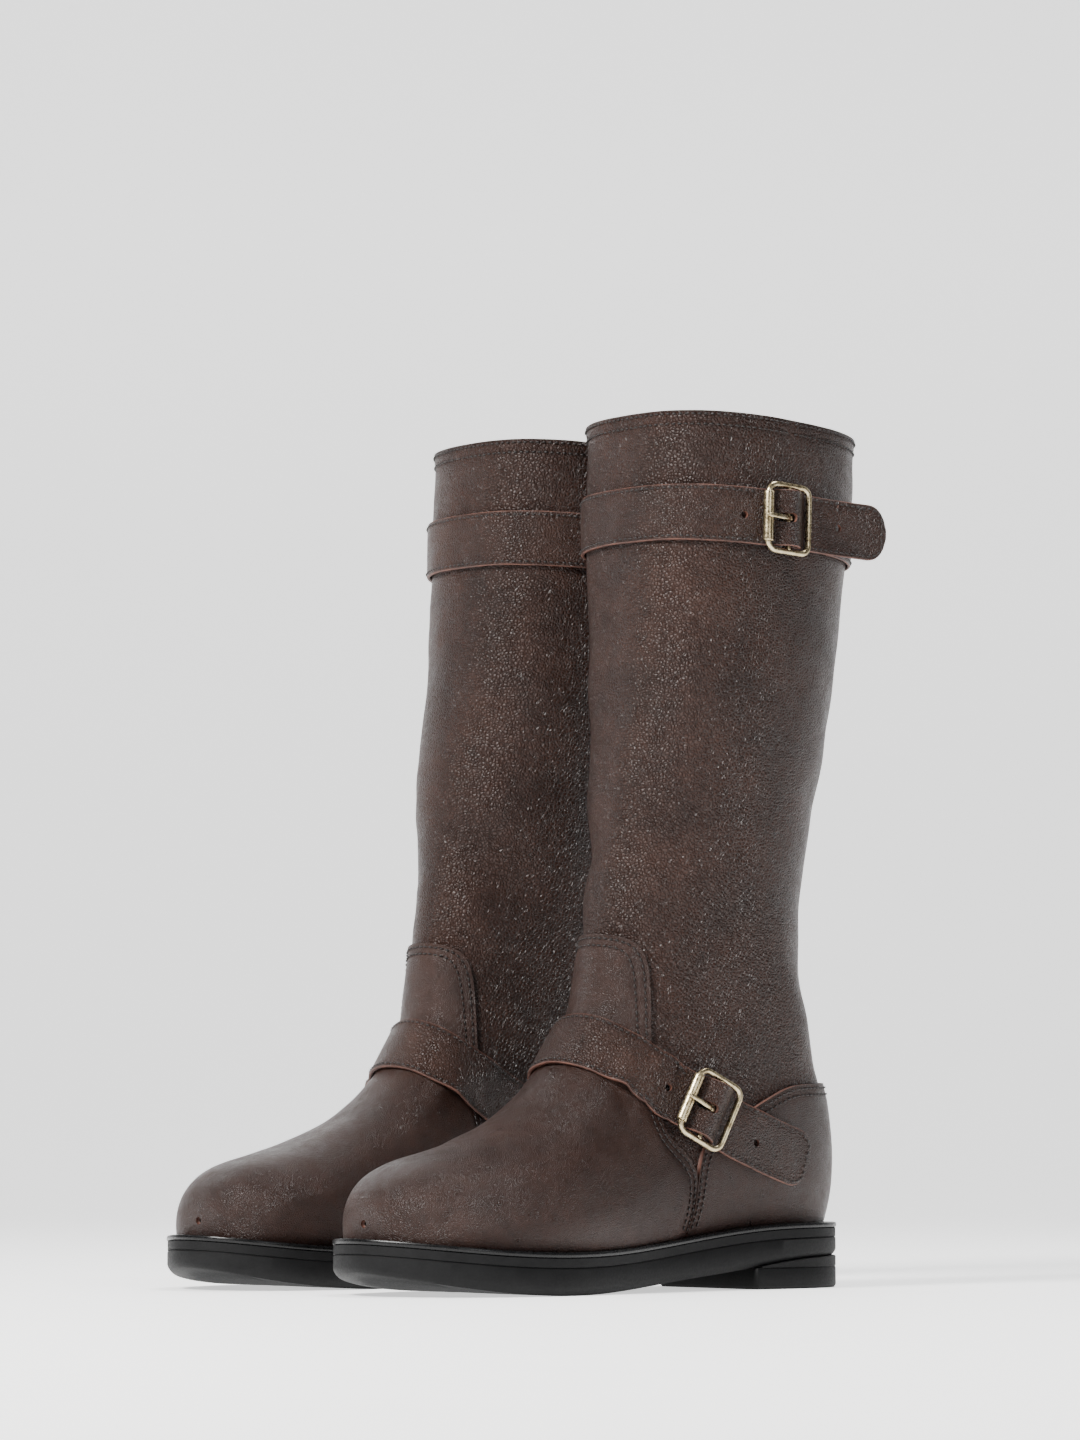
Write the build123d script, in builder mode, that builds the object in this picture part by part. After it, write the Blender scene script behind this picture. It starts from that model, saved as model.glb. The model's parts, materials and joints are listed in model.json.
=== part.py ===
"""A pair of tall pull-on riding boots with an ankle strap and a top strap, each on a roller buckle.

Boot coordinates, used by every piece before it is set in its place:
X is the side of the boot (+X lateral, -X medial), Y runs back from the toe, so a point that lies
a length `s` in front of the back of the heel is at Y = -s, and Z is the height above the floor.
The left boot is placed as it is made. The right boot is its mirror image.
"""
from build123d import *
import os
from math import cos, pi, radians, sin

os.makedirs("parts", exist_ok=True)

# ---------------------------------------------------------------- driving dimensions (mm)
SOLE_LENGTH = 280.0        # heel to toe of the outsole, European size 38 to 39
BALL_WIDTH = 100.0         # outsole across the ball
RIM_HEIGHT = 415.0         # floor to the front of the shaft's rim
CALF_WIDTH = 111.0         # shaft across, at the rim
ANKLE_HEIGHT = 150.0       # above this height the shaft stretches with RIM_HEIGHT
PAIR_GAP = 2.0             # between the two boots, where they come nearest

UPPER_THICKNESS = 1.8      # leather of the shaft
OVERLAY_THICKNESS = 1.9    # leather of the vamp and the counter cover
LINING_THICKNESS = 1.1
FACING_THICKNESS = 1.0
LAYER_GAP = 0.3            # between two layers of leather that follow each other
SEAM_GAP = 0.4             # between two pieces that meet edge to edge in one layer

WELT_THICKNESS = 2.6
MIDSOLE_THICKNESS = 4.4
HEEL_SEAT_HEIGHT = 15.0    # floor to the underside of the outsole at the heel
HEEL_LIFT_HEIGHT = 10.0    # floor to the joint between the two rubber lifts
HEEL_LENGTH = 68.0
LIFT_SETBACK = 3.0         # the wedge between outsole and top lift ends this far behind the breast
WELT_BAND = 13.0           # width of the welt from the sole's edge inwards
BALL_POINT = 190.0         # where the sole touches the floor
TOE_SPRING = 10.5
GLUE_GAP = 0.05
BOARD_THICKNESS = 2.6
SOCK_THICKNESS = 1.4
SHANK_WIDTH = 15.0
SHANK_THICKNESS = 1.2
NAIL_RADIUS = 1.3
NAIL_GAP = 0.04
FACING_HEIGHT = 22.0

STRAP_WIDTH = 27.0
STRAP_THICKNESS = 1.8
CHAPE_THICKNESS = 1.2
CHAPE_WIDTH = 25.5
STRAP_CLEARANCE = 0.6     # between a strap and the leather below it
TOP_STRAP_HEIGHT = 362.5   # height of the top buckle
ANKLE_STRAP_HEIGHT = 83.5  # height of the ankle buckle

BUCKLE_LENGTH = 27.5       # outside, along the strap
BUCKLE_WIDTH = 34.6        # outside, across the strap
WIRE_RADIUS = 1.5
BUCKLE_CORNER = 4.5        # corner radius of the wire's centre line
BAR_RADIUS = 1.3           # centre bar, the hinge pin of the buckle and of the prong
BAR_HEIGHT = 5.7           # centre bar above the surface of the boot
BAR_CLEARANCE = 0.3        # between the bar and the chape folded round it
ROLLER_RADIUS = 2.6
ROLLER_LENGTH = 24.0
ROLLER_CLEARANCE = 0.07
ROLLER_SEAM = 0.35
PRONG_WIDTH = 2.4
PRONG_CLEARANCE = 0.08     # between the bar and the eye of the prong
PRONG_EYE_RADIUS = 2.7
PRONG_SLOT = 4.4           # width of the slots that the prong passes

HALF_SPAN = 90.0           # half the width of every side-on cutting shape
OVER_TOP = 12.0            # the upper's form runs on this far above the rim before it is cut
FAR = 80.0                 # how far the cutting shapes reach past the boot

# ---------------------------------------------------------------- the last: sections of the upper
# Each section is a closed oval in a plane that holds the line from its back point to its front
# point, both seen from the side. Columns: back s, back z, front s, front z, lateral half width,
# medial half width, side offset, side shift of the front ridge, place of the widest point along
# the line, roundness of the back and of the front (2 is an ellipse, more is squarer).
SECTIONS = (
    (266.3, 27.0, 266.8, 38.0, 9.0, 9.0, -6.0, 0.0, 0.50, 2.2, 2.2),
    (262.5, 14.0, 264.0, 45.5, 20.5, 19.5, -5.0, -1.0, 0.50, 2.4, 2.2),
    (254.0, 9.0, 257.5, 51.0, 28.5, 27.0, -4.0, -2.0, 0.50, 2.4, 2.4),
    (240.0, 6.0, 247.0, 56.0, 35.5, 34.0, -2.0, -4.0, 0.48, 2.4, 2.4),
    (220.0, 4.0, 229.5, 60.5, 41.5, 40.0, 0.0, -6.0, 0.48, 2.4, 2.3),
    (195.0, 4.0, 206.0, 67.5, 44.5, 42.5, 1.0, -8.0, 0.46, 2.4, 2.25),
    (166.0, 4.0, 182.0, 78.0, 42.5, 40.5, 1.0, -9.0, 0.44, 2.4, 2.2),
    (134.0, 6.0, 162.0, 93.0, 38.0, 36.5, 0.0, -9.0, 0.44, 2.4, 2.2),
    (98.0, 8.0, 145.5, 114.5, 34.0, 34.0, -1.0, -7.0, 0.46, 2.4, 2.2),
    (56.0, 10.0, 136.5, 142.0, 34.0, 34.0, -1.0, -5.0, 0.48, 2.4, 2.2),
    (18.0, 12.0, 132.5, 169.0, 36.0, 36.0, -1.0, -3.0, 0.50, 2.5, 2.2),
    (2.0, 40.0, 130.0, 196.5, 38.5, 38.5, -1.5, -2.0, 0.50, 2.4, 2.15),
    (7.0, 84.0, 127.0, 221.5, 41.5, 41.5, -2.0, 0.0, 0.50, 2.25, 2.15),
    (21.0, 126.0, 125.0, 246.0, 45.5, 45.5, -3.0, 0.0, 0.50, 2.2, 2.15),
    (22.0, 172.0, 121.0, 268.0, 48.0, 48.0, -4.0, 0.0, 0.50, 2.2, 2.2),
    (11.0, 228.0, 118.0, 298.0, 51.0, 51.0, -5.5, 0.0, 0.50, 2.25, 2.25),
    (-2.0, 286.0, 116.0, 328.0, 53.5, 53.5, -7.0, 0.0, 0.50, 2.3, 2.3),
    (-11.0, 346.0, 114.5, 366.0, 55.0, 55.0, -8.5, 0.0, 0.50, 2.4, 2.4),
    (-14.5, 384.0, 112.5, 394.0, 55.5, 55.5, -9.5, 0.0, 0.50, 2.5, 2.5),
    (-15.5, 409.0, 111.0, 415.0, 55.5, 55.5, -10.0, 0.0, 0.50, 2.55, 2.55),
)
TOE_PULL = (1.0, 0.8, 0.5, 0.25)   # how much of an inset each toe section moves back
SECTION_POINTS = 20
EVEN_STEPS = [step / SECTION_POINTS for step in range(SECTION_POINTS + 1)]
INSTEP = 10                # the section where the foot's loft ends and the shaft's begins

# The outline of the sole, heel first, lateral side first: s and x.
SOLE_OUTLINE = (
    (-1, 0), (6, 24), (32, 35.5), (70, 34.5), (105, 34.5), (140, 40), (175, 48), (205, 51),
    (238, 45), (263, 28.5), (277, 8), (279.5, -6), (274, -24), (254, -40.5), (218, -49),
    (185, -46.5), (150, -37.5), (115, -33), (75, -33), (32, -34.5), (6, -24),
)
# Height of the welt's top along the sole: s and z.
WELT_LINE = (
    (-40, 31), (0, 31), (30, 31), (60, 30), (100, 26), (150, 21), (190, 19.5), (240, 21.5),
    (280, 26), (320, 31),
)
LAST_LENGTH = 280.0        # the length, width and height that the sections above are drawn for
LAST_WIDTH = 100.0
LAST_RIM = 415.0
LAST_CALF = 111.0

ALONG = SOLE_LENGTH / LAST_LENGTH
ACROSS = BALL_WIDTH / LAST_WIDTH


def height(z):
    """Height on this boot of a height on the last: only the shaft above the ankle stretches."""
    if z <= ANKLE_HEIGHT:
        return z
    return ANKLE_HEIGHT + (z - ANKLE_HEIGHT) * (RIM_HEIGHT - ANKLE_HEIGHT) / (LAST_RIM - ANKLE_HEIGHT)


def girth(z):
    """Width factor at a height: the foot follows BALL_WIDTH and the rim follows CALF_WIDTH."""
    share = min(max((z - ANKLE_HEIGHT) / (RIM_HEIGHT - ANKLE_HEIGHT), 0.0), 1.0)
    return ACROSS + (CALF_WIDTH / LAST_CALF - ACROSS) * share


def side(s, z):
    """A point of the boot's side view, in the YZ plane."""
    return (-s * ALONG, z)


# ---------------------------------------------------------------- the form under and over the leather
def oval(section, inset, pull):
    """One section of the form, `inset` inside the drawn one and moved back from the toe by `pull`."""
    back_s, back_z, front_s, front_z, lateral, medial, offset, ridge, widest, low, top = section
    back = Vector(0, -back_s * ALONG + pull, height(back_z))
    front = Vector(0, -front_s * ALONG + pull, height(front_z))
    line = front - back
    wide = girth((back.Z + front.Z) / 2)
    points = []
    for step in range(SECTION_POINTS):
        angle = 2 * pi * step / SECTION_POINTS
        power = 2 / (top if sin(angle) > 0 else low)
        rise = abs(sin(angle)) ** power
        reach = abs(cos(angle)) ** power
        share = widest + (1 - widest) * rise if sin(angle) > 0 else widest - widest * rise
        half = (lateral if cos(angle) > 0 else medial) * wide - inset
        shift = offset + ridge * max((share - widest) / (1 - widest), 0.0)
        x = shift + (half if cos(angle) > 0 else -half) * reach
        points.append((x, inset + share * (line.length - 2 * inset)))
    plane = Plane(origin=back, x_dir=(1, 0, 0), z_dir=Vector(1, 0, 0).cross(line))
    with BuildSketch(plane) as ring:
        with BuildLine():
            add(Edge.make_spline(points, periodic=True, parameters=EVEN_STEPS))
        make_face()
    return ring.sketch


def form(inset):
    """The upper's form, `inset` below the outer surface of the shaft leather (negative: above).

    It reaches OVER_TOP past the rim, so that every piece of the upper is cut off by one rim plane.
    """
    back_s, back_z, front_s, front_z = SECTIONS[-1][:4]
    above_rim = (back_s, back_z + OVER_TOP, front_s, front_z + OVER_TOP) + SECTIONS[-1][4:]
    ovals = []
    for number, section in enumerate(SECTIONS + (above_rim,)):
        pull = inset * TOE_PULL[number] if number < len(TOE_PULL) else 0.0
        ovals.append(oval(section, inset, pull))
    with BuildPart() as body:
        loft(ovals[:INSTEP + 1])
        loft(ovals[INSTEP:])
    return body.part


def side_prism(points):
    """A closed side view with straight sides, extruded across the boot."""
    with BuildPart() as prism:
        with BuildSketch(Plane.YZ):
            with BuildLine():
                Polyline(*points, close=True)
            make_face()
        extrude(amount=HALF_SPAN, both=True)
    return prism.part


def band_prism(lower, upper):
    """The space between two side-view curves that run from heel to toe, extruded across."""
    with BuildPart() as prism:
        with BuildSketch(Plane.YZ):
            with BuildLine():
                bottom = Spline(*lower)
                top = Spline(*upper)
                Line(bottom @ 0, top @ 0)
                Line(bottom @ 1, top @ 1)
            make_face()
        extrude(amount=HALF_SPAN, both=True)
    return prism.part


def welt_line(rise):
    """The top of the welt, moved up by `rise`."""
    return [side(s, z + rise) for s, z in WELT_LINE]


def rim_line(drop):
    """The line of the rim in the side view, moved down by `drop`, as far as the welt line runs."""
    back_s, back_z, front_s, front_z = SECTIONS[-1][:4]
    slope = (height(front_z) - height(back_z)) / (front_s - back_s)
    return [side(s, height(back_z) + (s - back_s) * slope - drop) for s, _ in WELT_LINE]


def outline_points(inset):
    """The sole's outline, moved inwards by `inset` square to itself."""
    points = [(x * ACROSS, -s * ALONG) for s, x in SOLE_OUTLINE]
    moved = []
    for number, (x, y) in enumerate(points):
        before = points[number - 1]
        after = points[(number + 1) % len(points)]
        along = Vector(after[0] - before[0], after[1] - before[1]).normalized()
        moved.append((x + along.Y * inset, y - along.X * inset))
    return moved


def sole_prism(inset):
    """The sole's outline, extruded up from the floor."""
    with BuildPart() as prism:
        with BuildSketch():
            with BuildLine():
                Spline(*outline_points(inset), periodic=True)
            make_face()
        extrude(amount=FAR)
    return prism.part


def shell(outer, inner, *cutters):
    """The layer between two forms, kept inside each of the cutting shapes."""
    with BuildPart() as layer:
        add(outer)
        add(inner, mode=Mode.SUBTRACT)
        for cutter in cutters:
            add(cutter, mode=Mode.INTERSECT)
    return layer.part


# ---------------------------------------------------------------- layers of the upper
overlay_outer = form(-LAYER_GAP - OVERLAY_THICKNESS)
overlay_inner = form(-LAYER_GAP)
shaft_outer = form(0.0)
shaft_inner = form(UPPER_THICKNESS)
lining_outer = form(UPPER_THICKNESS + LAYER_GAP)
LINING_INSET = UPPER_THICKNESS + LAYER_GAP + LINING_THICKNESS
lining_inner = form(LINING_INSET)
facing_outer = form(LINING_INSET + LAYER_GAP)
FACING_INSET = LINING_INSET + LAYER_GAP + FACING_THICKNESS
facing_inner = form(FACING_INSET)
standing = band_prism(welt_line(GLUE_GAP), rim_line(0.0))

# Side view of the pattern pieces: s and z.
vamp_edge = [(133, 165.5), (129, 161), (124.5, 157), (122.5, 147), (124, 117), (126, 95), (124, 72),
             (107, 58.5), (105.5, 49), (107, 37), (113, 20), (115, -20)]
counter_edge = [(35, 96.5), (50, 95), (62.6, 89), (75, 83), (95, 73.5), (102.5, 64), (104.5, 49), (106, 37),
                (112, 20), (114, -20)]
shaft_edge = [(170, 142), (150, 142), (137, 100), (134, 62), (120, 47), (119, 20), (120, -20)]
lining_edge = [(175, 150), (146, 108), (122, 60), (104, 20), (100, -20)]
slip_edge = [(76, -20), (76, 46), (66, 62), (40, 72)]
PUFF_LINE = 222.0


def forward_of(edge, gap=0.0):
    """Everything in front of a pattern edge."""
    front = [(SOLE_LENGTH / ALONG + FAR, edge[-1][1]), (SOLE_LENGTH / ALONG + FAR, edge[0][1])]
    return side_prism([side(s + gap, z) for s, z in edge] + [side(s, z) for s, z in front])


def behind(edge, top, gap=0.0):
    """Everything behind a pattern edge, up to a height `top`."""
    corners = [(-FAR, edge[-1][1]), (-FAR, top)]
    if top > edge[0][1]:
        corners.append((edge[0][0], top))
    return side_prism([side(s - gap, z) for s, z in edge] + [side(s, z) for s, z in corners])


pieces = {}
pieces["vamp"] = shell(overlay_outer, overlay_inner, standing, forward_of(vamp_edge, SEAM_GAP))
pieces["counter_cover"] = shell(overlay_outer, overlay_inner, standing,
                                behind(counter_edge, counter_edge[0][1], SEAM_GAP))
pieces["shaft"] = shell(shaft_outer, shaft_inner, standing,
                        behind(shaft_edge, 2 * RIM_HEIGHT, SEAM_GAP))
in_front_of_shaft = forward_of(shaft_edge)
toe_box = side_prism([side(PUFF_LINE, -20), side(PUFF_LINE, 120), side(330, 120), side(330, -20)])
pieces["toe_puff"] = shell(shaft_outer, shaft_inner, standing, toe_box)
with BuildPart() as interlining:
    add(shell(shaft_outer, shaft_inner, standing, in_front_of_shaft))
    add(side_prism([side(PUFF_LINE - SEAM_GAP, -20), side(PUFF_LINE - SEAM_GAP, 120), side(330, 120),
                    side(330, -20)]), mode=Mode.SUBTRACT)
pieces["vamp_interlining"] = interlining.part

slip_space = side_prism([side(s, z) for s, z in slip_edge] + [side(-FAR, 72), side(-FAR, -20)])
slip_grown = side_prism([side(s + SEAM_GAP, z + SEAM_GAP) for s, z in slip_edge]
                        + [side(-FAR, 72 + SEAM_GAP), side(-FAR, -20)])
with BuildPart() as shaft_lining:
    add(shell(lining_outer, lining_inner, standing, behind(lining_edge, 2 * RIM_HEIGHT, SEAM_GAP)))
    add(slip_grown, mode=Mode.SUBTRACT)
pieces["shaft_lining"] = shaft_lining.part
pieces["vamp_lining"] = shell(lining_outer, lining_inner, standing, forward_of(lining_edge))
pieces["heel_stiffener"] = shell(lining_outer, lining_inner, standing, slip_space)
slip_wide = side_prism([side(84, -20), side(84, 50), side(72, 70), side(44, 82), side(-FAR, 82),
                        side(-FAR, -20)])
pieces["heel_lining"] = shell(facing_outer, facing_inner, standing, slip_wide)
rim_band = band_prism(rim_line(FACING_HEIGHT), rim_line(0.0))
pieces["top_facing"] = shell(facing_outer, facing_inner, rim_band)

# ---------------------------------------------------------------- bottom of the boot
BOARD_INSET = FACING_INSET + LAYER_GAP
inside = form(BOARD_INSET)


def inside_layer(low, high):
    """A flat piece that fills the inside of the boot between two heights over the welt's top."""
    with BuildPart() as layer:
        add(inside)
        add(band_prism(welt_line(low), welt_line(high)), mode=Mode.INTERSECT)
    return layer.part


pieces["insole_board"] = inside_layer(GLUE_GAP, GLUE_GAP + BOARD_THICKNESS)
pieces["sock_liner"] = inside_layer(2 * GLUE_GAP + BOARD_THICKNESS,
                                    2 * GLUE_GAP + BOARD_THICKNESS + SOCK_THICKNESS)

nail_spots = [(20, 0), (28, 17), (28, -17), (52, 18), (52, -18)]
NAIL_LOW = 3.0
NAIL_HIGH = HEEL_SEAT_HEIGHT + 5.0


def nail_set(radius, low, high):
    """The heel's nails, or the holes for them, as upright cylinders."""
    with BuildPart() as nails:
        with BuildSketch(Plane.XY.offset(low)):
            with Locations(*[(x, -s * ALONG) for s, x in nail_spots]):
                Circle(radius)
        extrude(amount=high - low)
    return nails.part


nail_holes = nail_set(NAIL_RADIUS + NAIL_GAP, NAIL_LOW, NAIL_HIGH)
pieces["heel_nails"] = nail_set(NAIL_RADIUS, NAIL_LOW + NAIL_GAP, NAIL_HIGH - NAIL_GAP)

midsole_top = -WELT_THICKNESS - GLUE_GAP
outsole_top = midsole_top - MIDSOLE_THICKNESS - GLUE_GAP
sole_block = sole_prism(0.0)

with BuildPart() as welt:
    add(sole_block)
    add(band_prism(welt_line(-WELT_THICKNESS), welt_line(0.0)), mode=Mode.INTERSECT)
    add(sole_prism(WELT_BAND), mode=Mode.SUBTRACT)
pieces["welt"] = welt.part

shank_line = [side(s, z) for s, z in WELT_LINE if 20 < s < 195]
SHANK_DEPTH = 1.9


def shank_bar(gap):
    """The steel shank, a narrow strip under the waist, grown all round by `gap`."""
    half = SHANK_THICKNESS / 2 + gap
    with BuildPart() as bar:
        with BuildSketch(Plane.YZ):
            with BuildLine():
                low = Spline(*[(y, z - SHANK_DEPTH - half + 0.6) for y, z in shank_line])
                high = Spline(*[(y, z - SHANK_DEPTH + half + 0.6) for y, z in shank_line])
                Line(low @ 0, high @ 0)
                Line(low @ 1, high @ 1)
            make_face()
        extrude(amount=SHANK_WIDTH / 2 + gap, both=True)
    return bar.part


pieces["shank"] = shank_bar(0.0)
with BuildPart() as cork:
    add(sole_prism(WELT_BAND + SEAM_GAP))
    add(band_prism(welt_line(-WELT_THICKNESS), welt_line(-GLUE_GAP)), mode=Mode.INTERSECT)
    with BuildSketch(Plane.XY):
        with Locations((0, -107.5 * ALONG)):
            Rectangle(SHANK_WIDTH + 2 * SEAM_GAP, (165 + 2 * SEAM_GAP) * ALONG)
    extrude(amount=FAR, mode=Mode.SUBTRACT)
pieces["cork_filler"] = cork.part

with BuildPart() as midsole:
    add(sole_block)
    add(band_prism(welt_line(midsole_top - MIDSOLE_THICKNESS), welt_line(midsole_top)),
        mode=Mode.INTERSECT)
pieces["midsole"] = midsole.part

heel_end = HEEL_LENGTH / ALONG
sole_bottom = [(-40, HEEL_SEAT_HEIGHT), (20, HEEL_SEAT_HEIGHT), (heel_end - 20, 13.2),
               (heel_end + 2, HEEL_LIFT_HEIGHT), (110, 5.6), (150, 1.9), (BALL_POINT, 0.0),
               (235, 2.4), (280, TOE_SPRING), (320, 22)]
with BuildPart() as outsole:
    add(sole_block)
    add(band_prism([side(s, z) for s, z in sole_bottom], welt_line(outsole_top)), mode=Mode.INTERSECT)
    add(nail_holes, mode=Mode.SUBTRACT)
pieces["outsole"] = outsole.part

with BuildPart() as heel_base:
    add(sole_block)
    add(side_prism([side(-FAR, HEEL_LIFT_HEIGHT), side(-FAR, HEEL_SEAT_HEIGHT - GLUE_GAP),
                    side(heel_end - LIFT_SETBACK, HEEL_SEAT_HEIGHT - GLUE_GAP),
                    side(heel_end - LIFT_SETBACK, HEEL_LIFT_HEIGHT)]), mode=Mode.INTERSECT)
    add(band_prism([side(s, z - GLUE_GAP) for s, z in sole_bottom], welt_line(outsole_top)),
        mode=Mode.SUBTRACT)
    add(nail_holes, mode=Mode.SUBTRACT)
pieces["heel_base"] = heel_base.part

with BuildPart() as top_lift:
    with BuildSketch():
        with BuildLine():
            Spline(*outline_points(0.0), periodic=True)
        make_face()
        with Locations((0, (FAR - HEEL_LENGTH) / 2)):
            Rectangle(2 * HALF_SPAN, FAR + HEEL_LENGTH, mode=Mode.INTERSECT)
    extrude(amount=HEEL_LIFT_HEIGHT - GLUE_GAP)
    add(nail_holes, mode=Mode.SUBTRACT)
pieces["heel_top_lift"] = top_lift.part

# ---------------------------------------------------------------- straps and buckles
def touch(body, origin, direction):
    """Where a ray leaves a form, and the form's outward normal there."""
    hits = body.find_intersection_points(Axis(origin, direction))
    way = Vector(*direction).normalized()
    point, normal = max(hits, key=lambda hit: (hit[0] - Vector(*origin)).dot(way))
    normal = normal.normalized()
    return point, normal if normal.dot(way) > 0 else -normal


def highest_under(body, point, normal, across, width):
    """How far a form rises above a point's tangent plane under the full width of a strap."""
    rises = [0.0]
    for share in (-0.5, -0.25, 0.25, 0.5):
        start = point + across * (share * width) - normal * 25.0
        hit, _ = touch(body, start, normal)
        rises.append((hit - point).dot(normal))
    return max(rises)


def ray_frames(body, rays, rise, width=STRAP_WIDTH):
    """Points above the form where each ray leaves it, with the normals there.

    Each point is `rise` above the highest leather under the strap's width.
    """
    hits = [touch(body, origin, direction) for origin, direction in rays]
    frames = []
    for number, (point, normal) in enumerate(hits):
        along = hits[min(number + 1, len(hits) - 1)][0] - hits[max(number - 1, 0)][0]
        across = normal.cross(along).normalized()
        lift = rise + highest_under(body, point, normal, across, width)
        frames.append((point + normal * lift, normal))
    return frames


def ribbon(frames, width, thickness, tip=()):
    """A strap lofted through its cross sections. `tip` narrows the last sections, as shares."""
    shares = [1.0] * (len(frames) - len(tip)) + list(tip)
    with BuildPart() as strap:
        for number, (point, normal) in enumerate(frames):
            before = frames[max(number - 1, 0)][0]
            after = frames[min(number + 1, len(frames) - 1)][0]
            along = (after - before).normalized()
            outward = (normal - along * normal.dot(along)).normalized()
            with BuildSketch(Plane(origin=point, x_dir=outward, z_dir=along)):
                Rectangle(thickness, width * shares[number])
        loft()
    return strap.part


def buckle_plane(body, origin, direction, along, lift=0.0):
    """The plane of a buckle: X along the strap to its tip, Z outward, `lift` above the leather."""
    point, normal = touch(body, origin, direction)
    flat = (along - normal * along.dot(normal)).normalized()
    return Plane(origin=point + normal * lift, x_dir=flat, z_dir=normal)


def over_buckle(plane, path):
    """Frames of a strap's way through a buckle: x and z of each point in the buckle's plane."""
    frames = []
    for number, (x, z) in enumerate(path):
        before = path[max(number - 1, 0)]
        after = path[min(number + 1, len(path) - 1)]
        slope = Vector(after[0] - before[0], 0, after[1] - before[1]).normalized()
        frames.append((plane.from_local_coords(Vector(x, 0, z)),
                       plane.z_dir * slope.X - plane.x_dir * slope.Z))
    return frames


def on_leather(body, plane, x, rise):
    """Height in the buckle's plane of a point `rise` above the leather, x along the strap."""
    start = plane.from_local_coords(Vector(x, 0, -30.0))
    point, _ = touch(body, start, plane.z_dir)
    lift = rise + highest_under(body, point, plane.z_dir, plane.y_dir, STRAP_WIDTH)
    return (x, plane.to_local_coords(point).Z + lift)


def folded_band(plane, path, width, thickness):
    """A band of leather that stays in the buckle's own plane, so its side view is extruded."""
    near, far = [], []
    for number, (x, z) in enumerate(path):
        before = path[max(number - 1, 0)]
        after = path[min(number + 1, len(path) - 1)]
        slope = Vector(after[0] - before[0], after[1] - before[1]).normalized()
        near.append((x - slope.Y * thickness / 2, z + slope.X * thickness / 2))
        far.append((x + slope.Y * thickness / 2, z - slope.X * thickness / 2))
    with BuildPart() as band:
        with BuildSketch(Plane(origin=plane.origin, x_dir=plane.x_dir, z_dir=-plane.y_dir)):
            with BuildLine():
                Polyline(*near, *reversed(far), close=True)
            make_face()
        extrude(amount=width / 2, both=True)
    return band.part


def in_buckle_plane(plane, frames):
    """The x and z, in the buckle's plane, of points that follow the leather."""
    points = [plane.to_local_coords(point) for point, _ in frames]
    return [(point.X, point.Z) for point in points]


WIRE_X = BUCKLE_LENGTH / 2 - WIRE_RADIUS
WIRE_Y = BUCKLE_WIDTH / 2 - WIRE_RADIUS


def buckle_frame(plane):
    """A rectangular wire frame with its centre bar."""
    with BuildSketch(plane.offset(BAR_HEIGHT)) as outline:
        RectangleRounded(2 * WIRE_X, 2 * WIRE_Y, BUCKLE_CORNER)
    ring = outline.sketch.face().outer_wire()
    with BuildPart() as buckle:
        with BuildSketch(Plane(origin=ring @ 0, z_dir=ring % 0)):
            Circle(WIRE_RADIUS)
        sweep(path=ring)
        bar_start = plane.from_local_coords(Vector(0, -WIRE_Y, BAR_HEIGHT))
        with BuildSketch(Plane(origin=bar_start, z_dir=plane.y_dir)):
            Circle(BAR_RADIUS)
        extrude(amount=2 * WIRE_Y)
    return buckle.part


def buckle_roller(plane):
    """A tube rolled from sheet round the front wire of the frame, with its open seam."""
    start = plane.from_local_coords(Vector(-WIRE_X, -ROLLER_LENGTH / 2, BAR_HEIGHT))
    with BuildPart() as roller:
        with BuildSketch(Plane(origin=start, x_dir=plane.z_dir, z_dir=plane.y_dir)):
            Circle(ROLLER_RADIUS)
            Circle(WIRE_RADIUS + ROLLER_CLEARANCE, mode=Mode.SUBTRACT)
            with Locations((ROLLER_RADIUS, 0)):
                Rectangle(ROLLER_RADIUS, ROLLER_SEAM, mode=Mode.SUBTRACT)
        extrude(amount=ROLLER_LENGTH)
    return roller.part


def buckle_prong(plane):
    """The prong: an eye round the centre bar and a tongue whose tip lies on the roller."""
    reach = WIRE_X + ROLLER_RADIUS
    rest = BAR_HEIGHT + ROLLER_RADIUS + PRONG_CLEARANCE
    side_plane = Plane(origin=plane.from_local_coords(Vector(0, PRONG_WIDTH / 2, 0)),
                       x_dir=plane.x_dir, z_dir=-plane.y_dir)
    with BuildPart() as prong:
        with BuildSketch(side_plane):
            with BuildLine():
                Polyline((-1.2, BAR_HEIGHT + 1.0), (-WIRE_X + 3.0, rest - 0.3), (-WIRE_X, rest),
                         (-reach - 0.6, rest - 0.6), (-reach - 0.6, rest + 0.6),
                         (-WIRE_X, rest + PRONG_WIDTH * 0.8), (-1.2, BAR_HEIGHT + 2.6), close=True)
            make_face()
            with Locations((0, BAR_HEIGHT)):
                Circle(PRONG_EYE_RADIUS)
                Circle(BAR_RADIUS + PRONG_CLEARANCE, mode=Mode.SUBTRACT)
        extrude(amount=PRONG_WIDTH)
    return prong.part


def slotted(strap, plane, x_from, x_to):
    """A strap with the slot that the prong passes, cut square to the buckle's plane."""
    middle = plane.from_local_coords(Vector((x_from + x_to) / 2, 0, 0))
    with BuildPart() as cut:
        add(strap)
        with BuildSketch(Plane(origin=middle, x_dir=plane.x_dir, z_dir=plane.z_dir)):
            SlotOverall(x_to - x_from + PRONG_SLOT / 2, PRONG_SLOT)
        extrude(amount=4 * BAR_HEIGHT, mode=Mode.SUBTRACT)
    return cut.part


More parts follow.
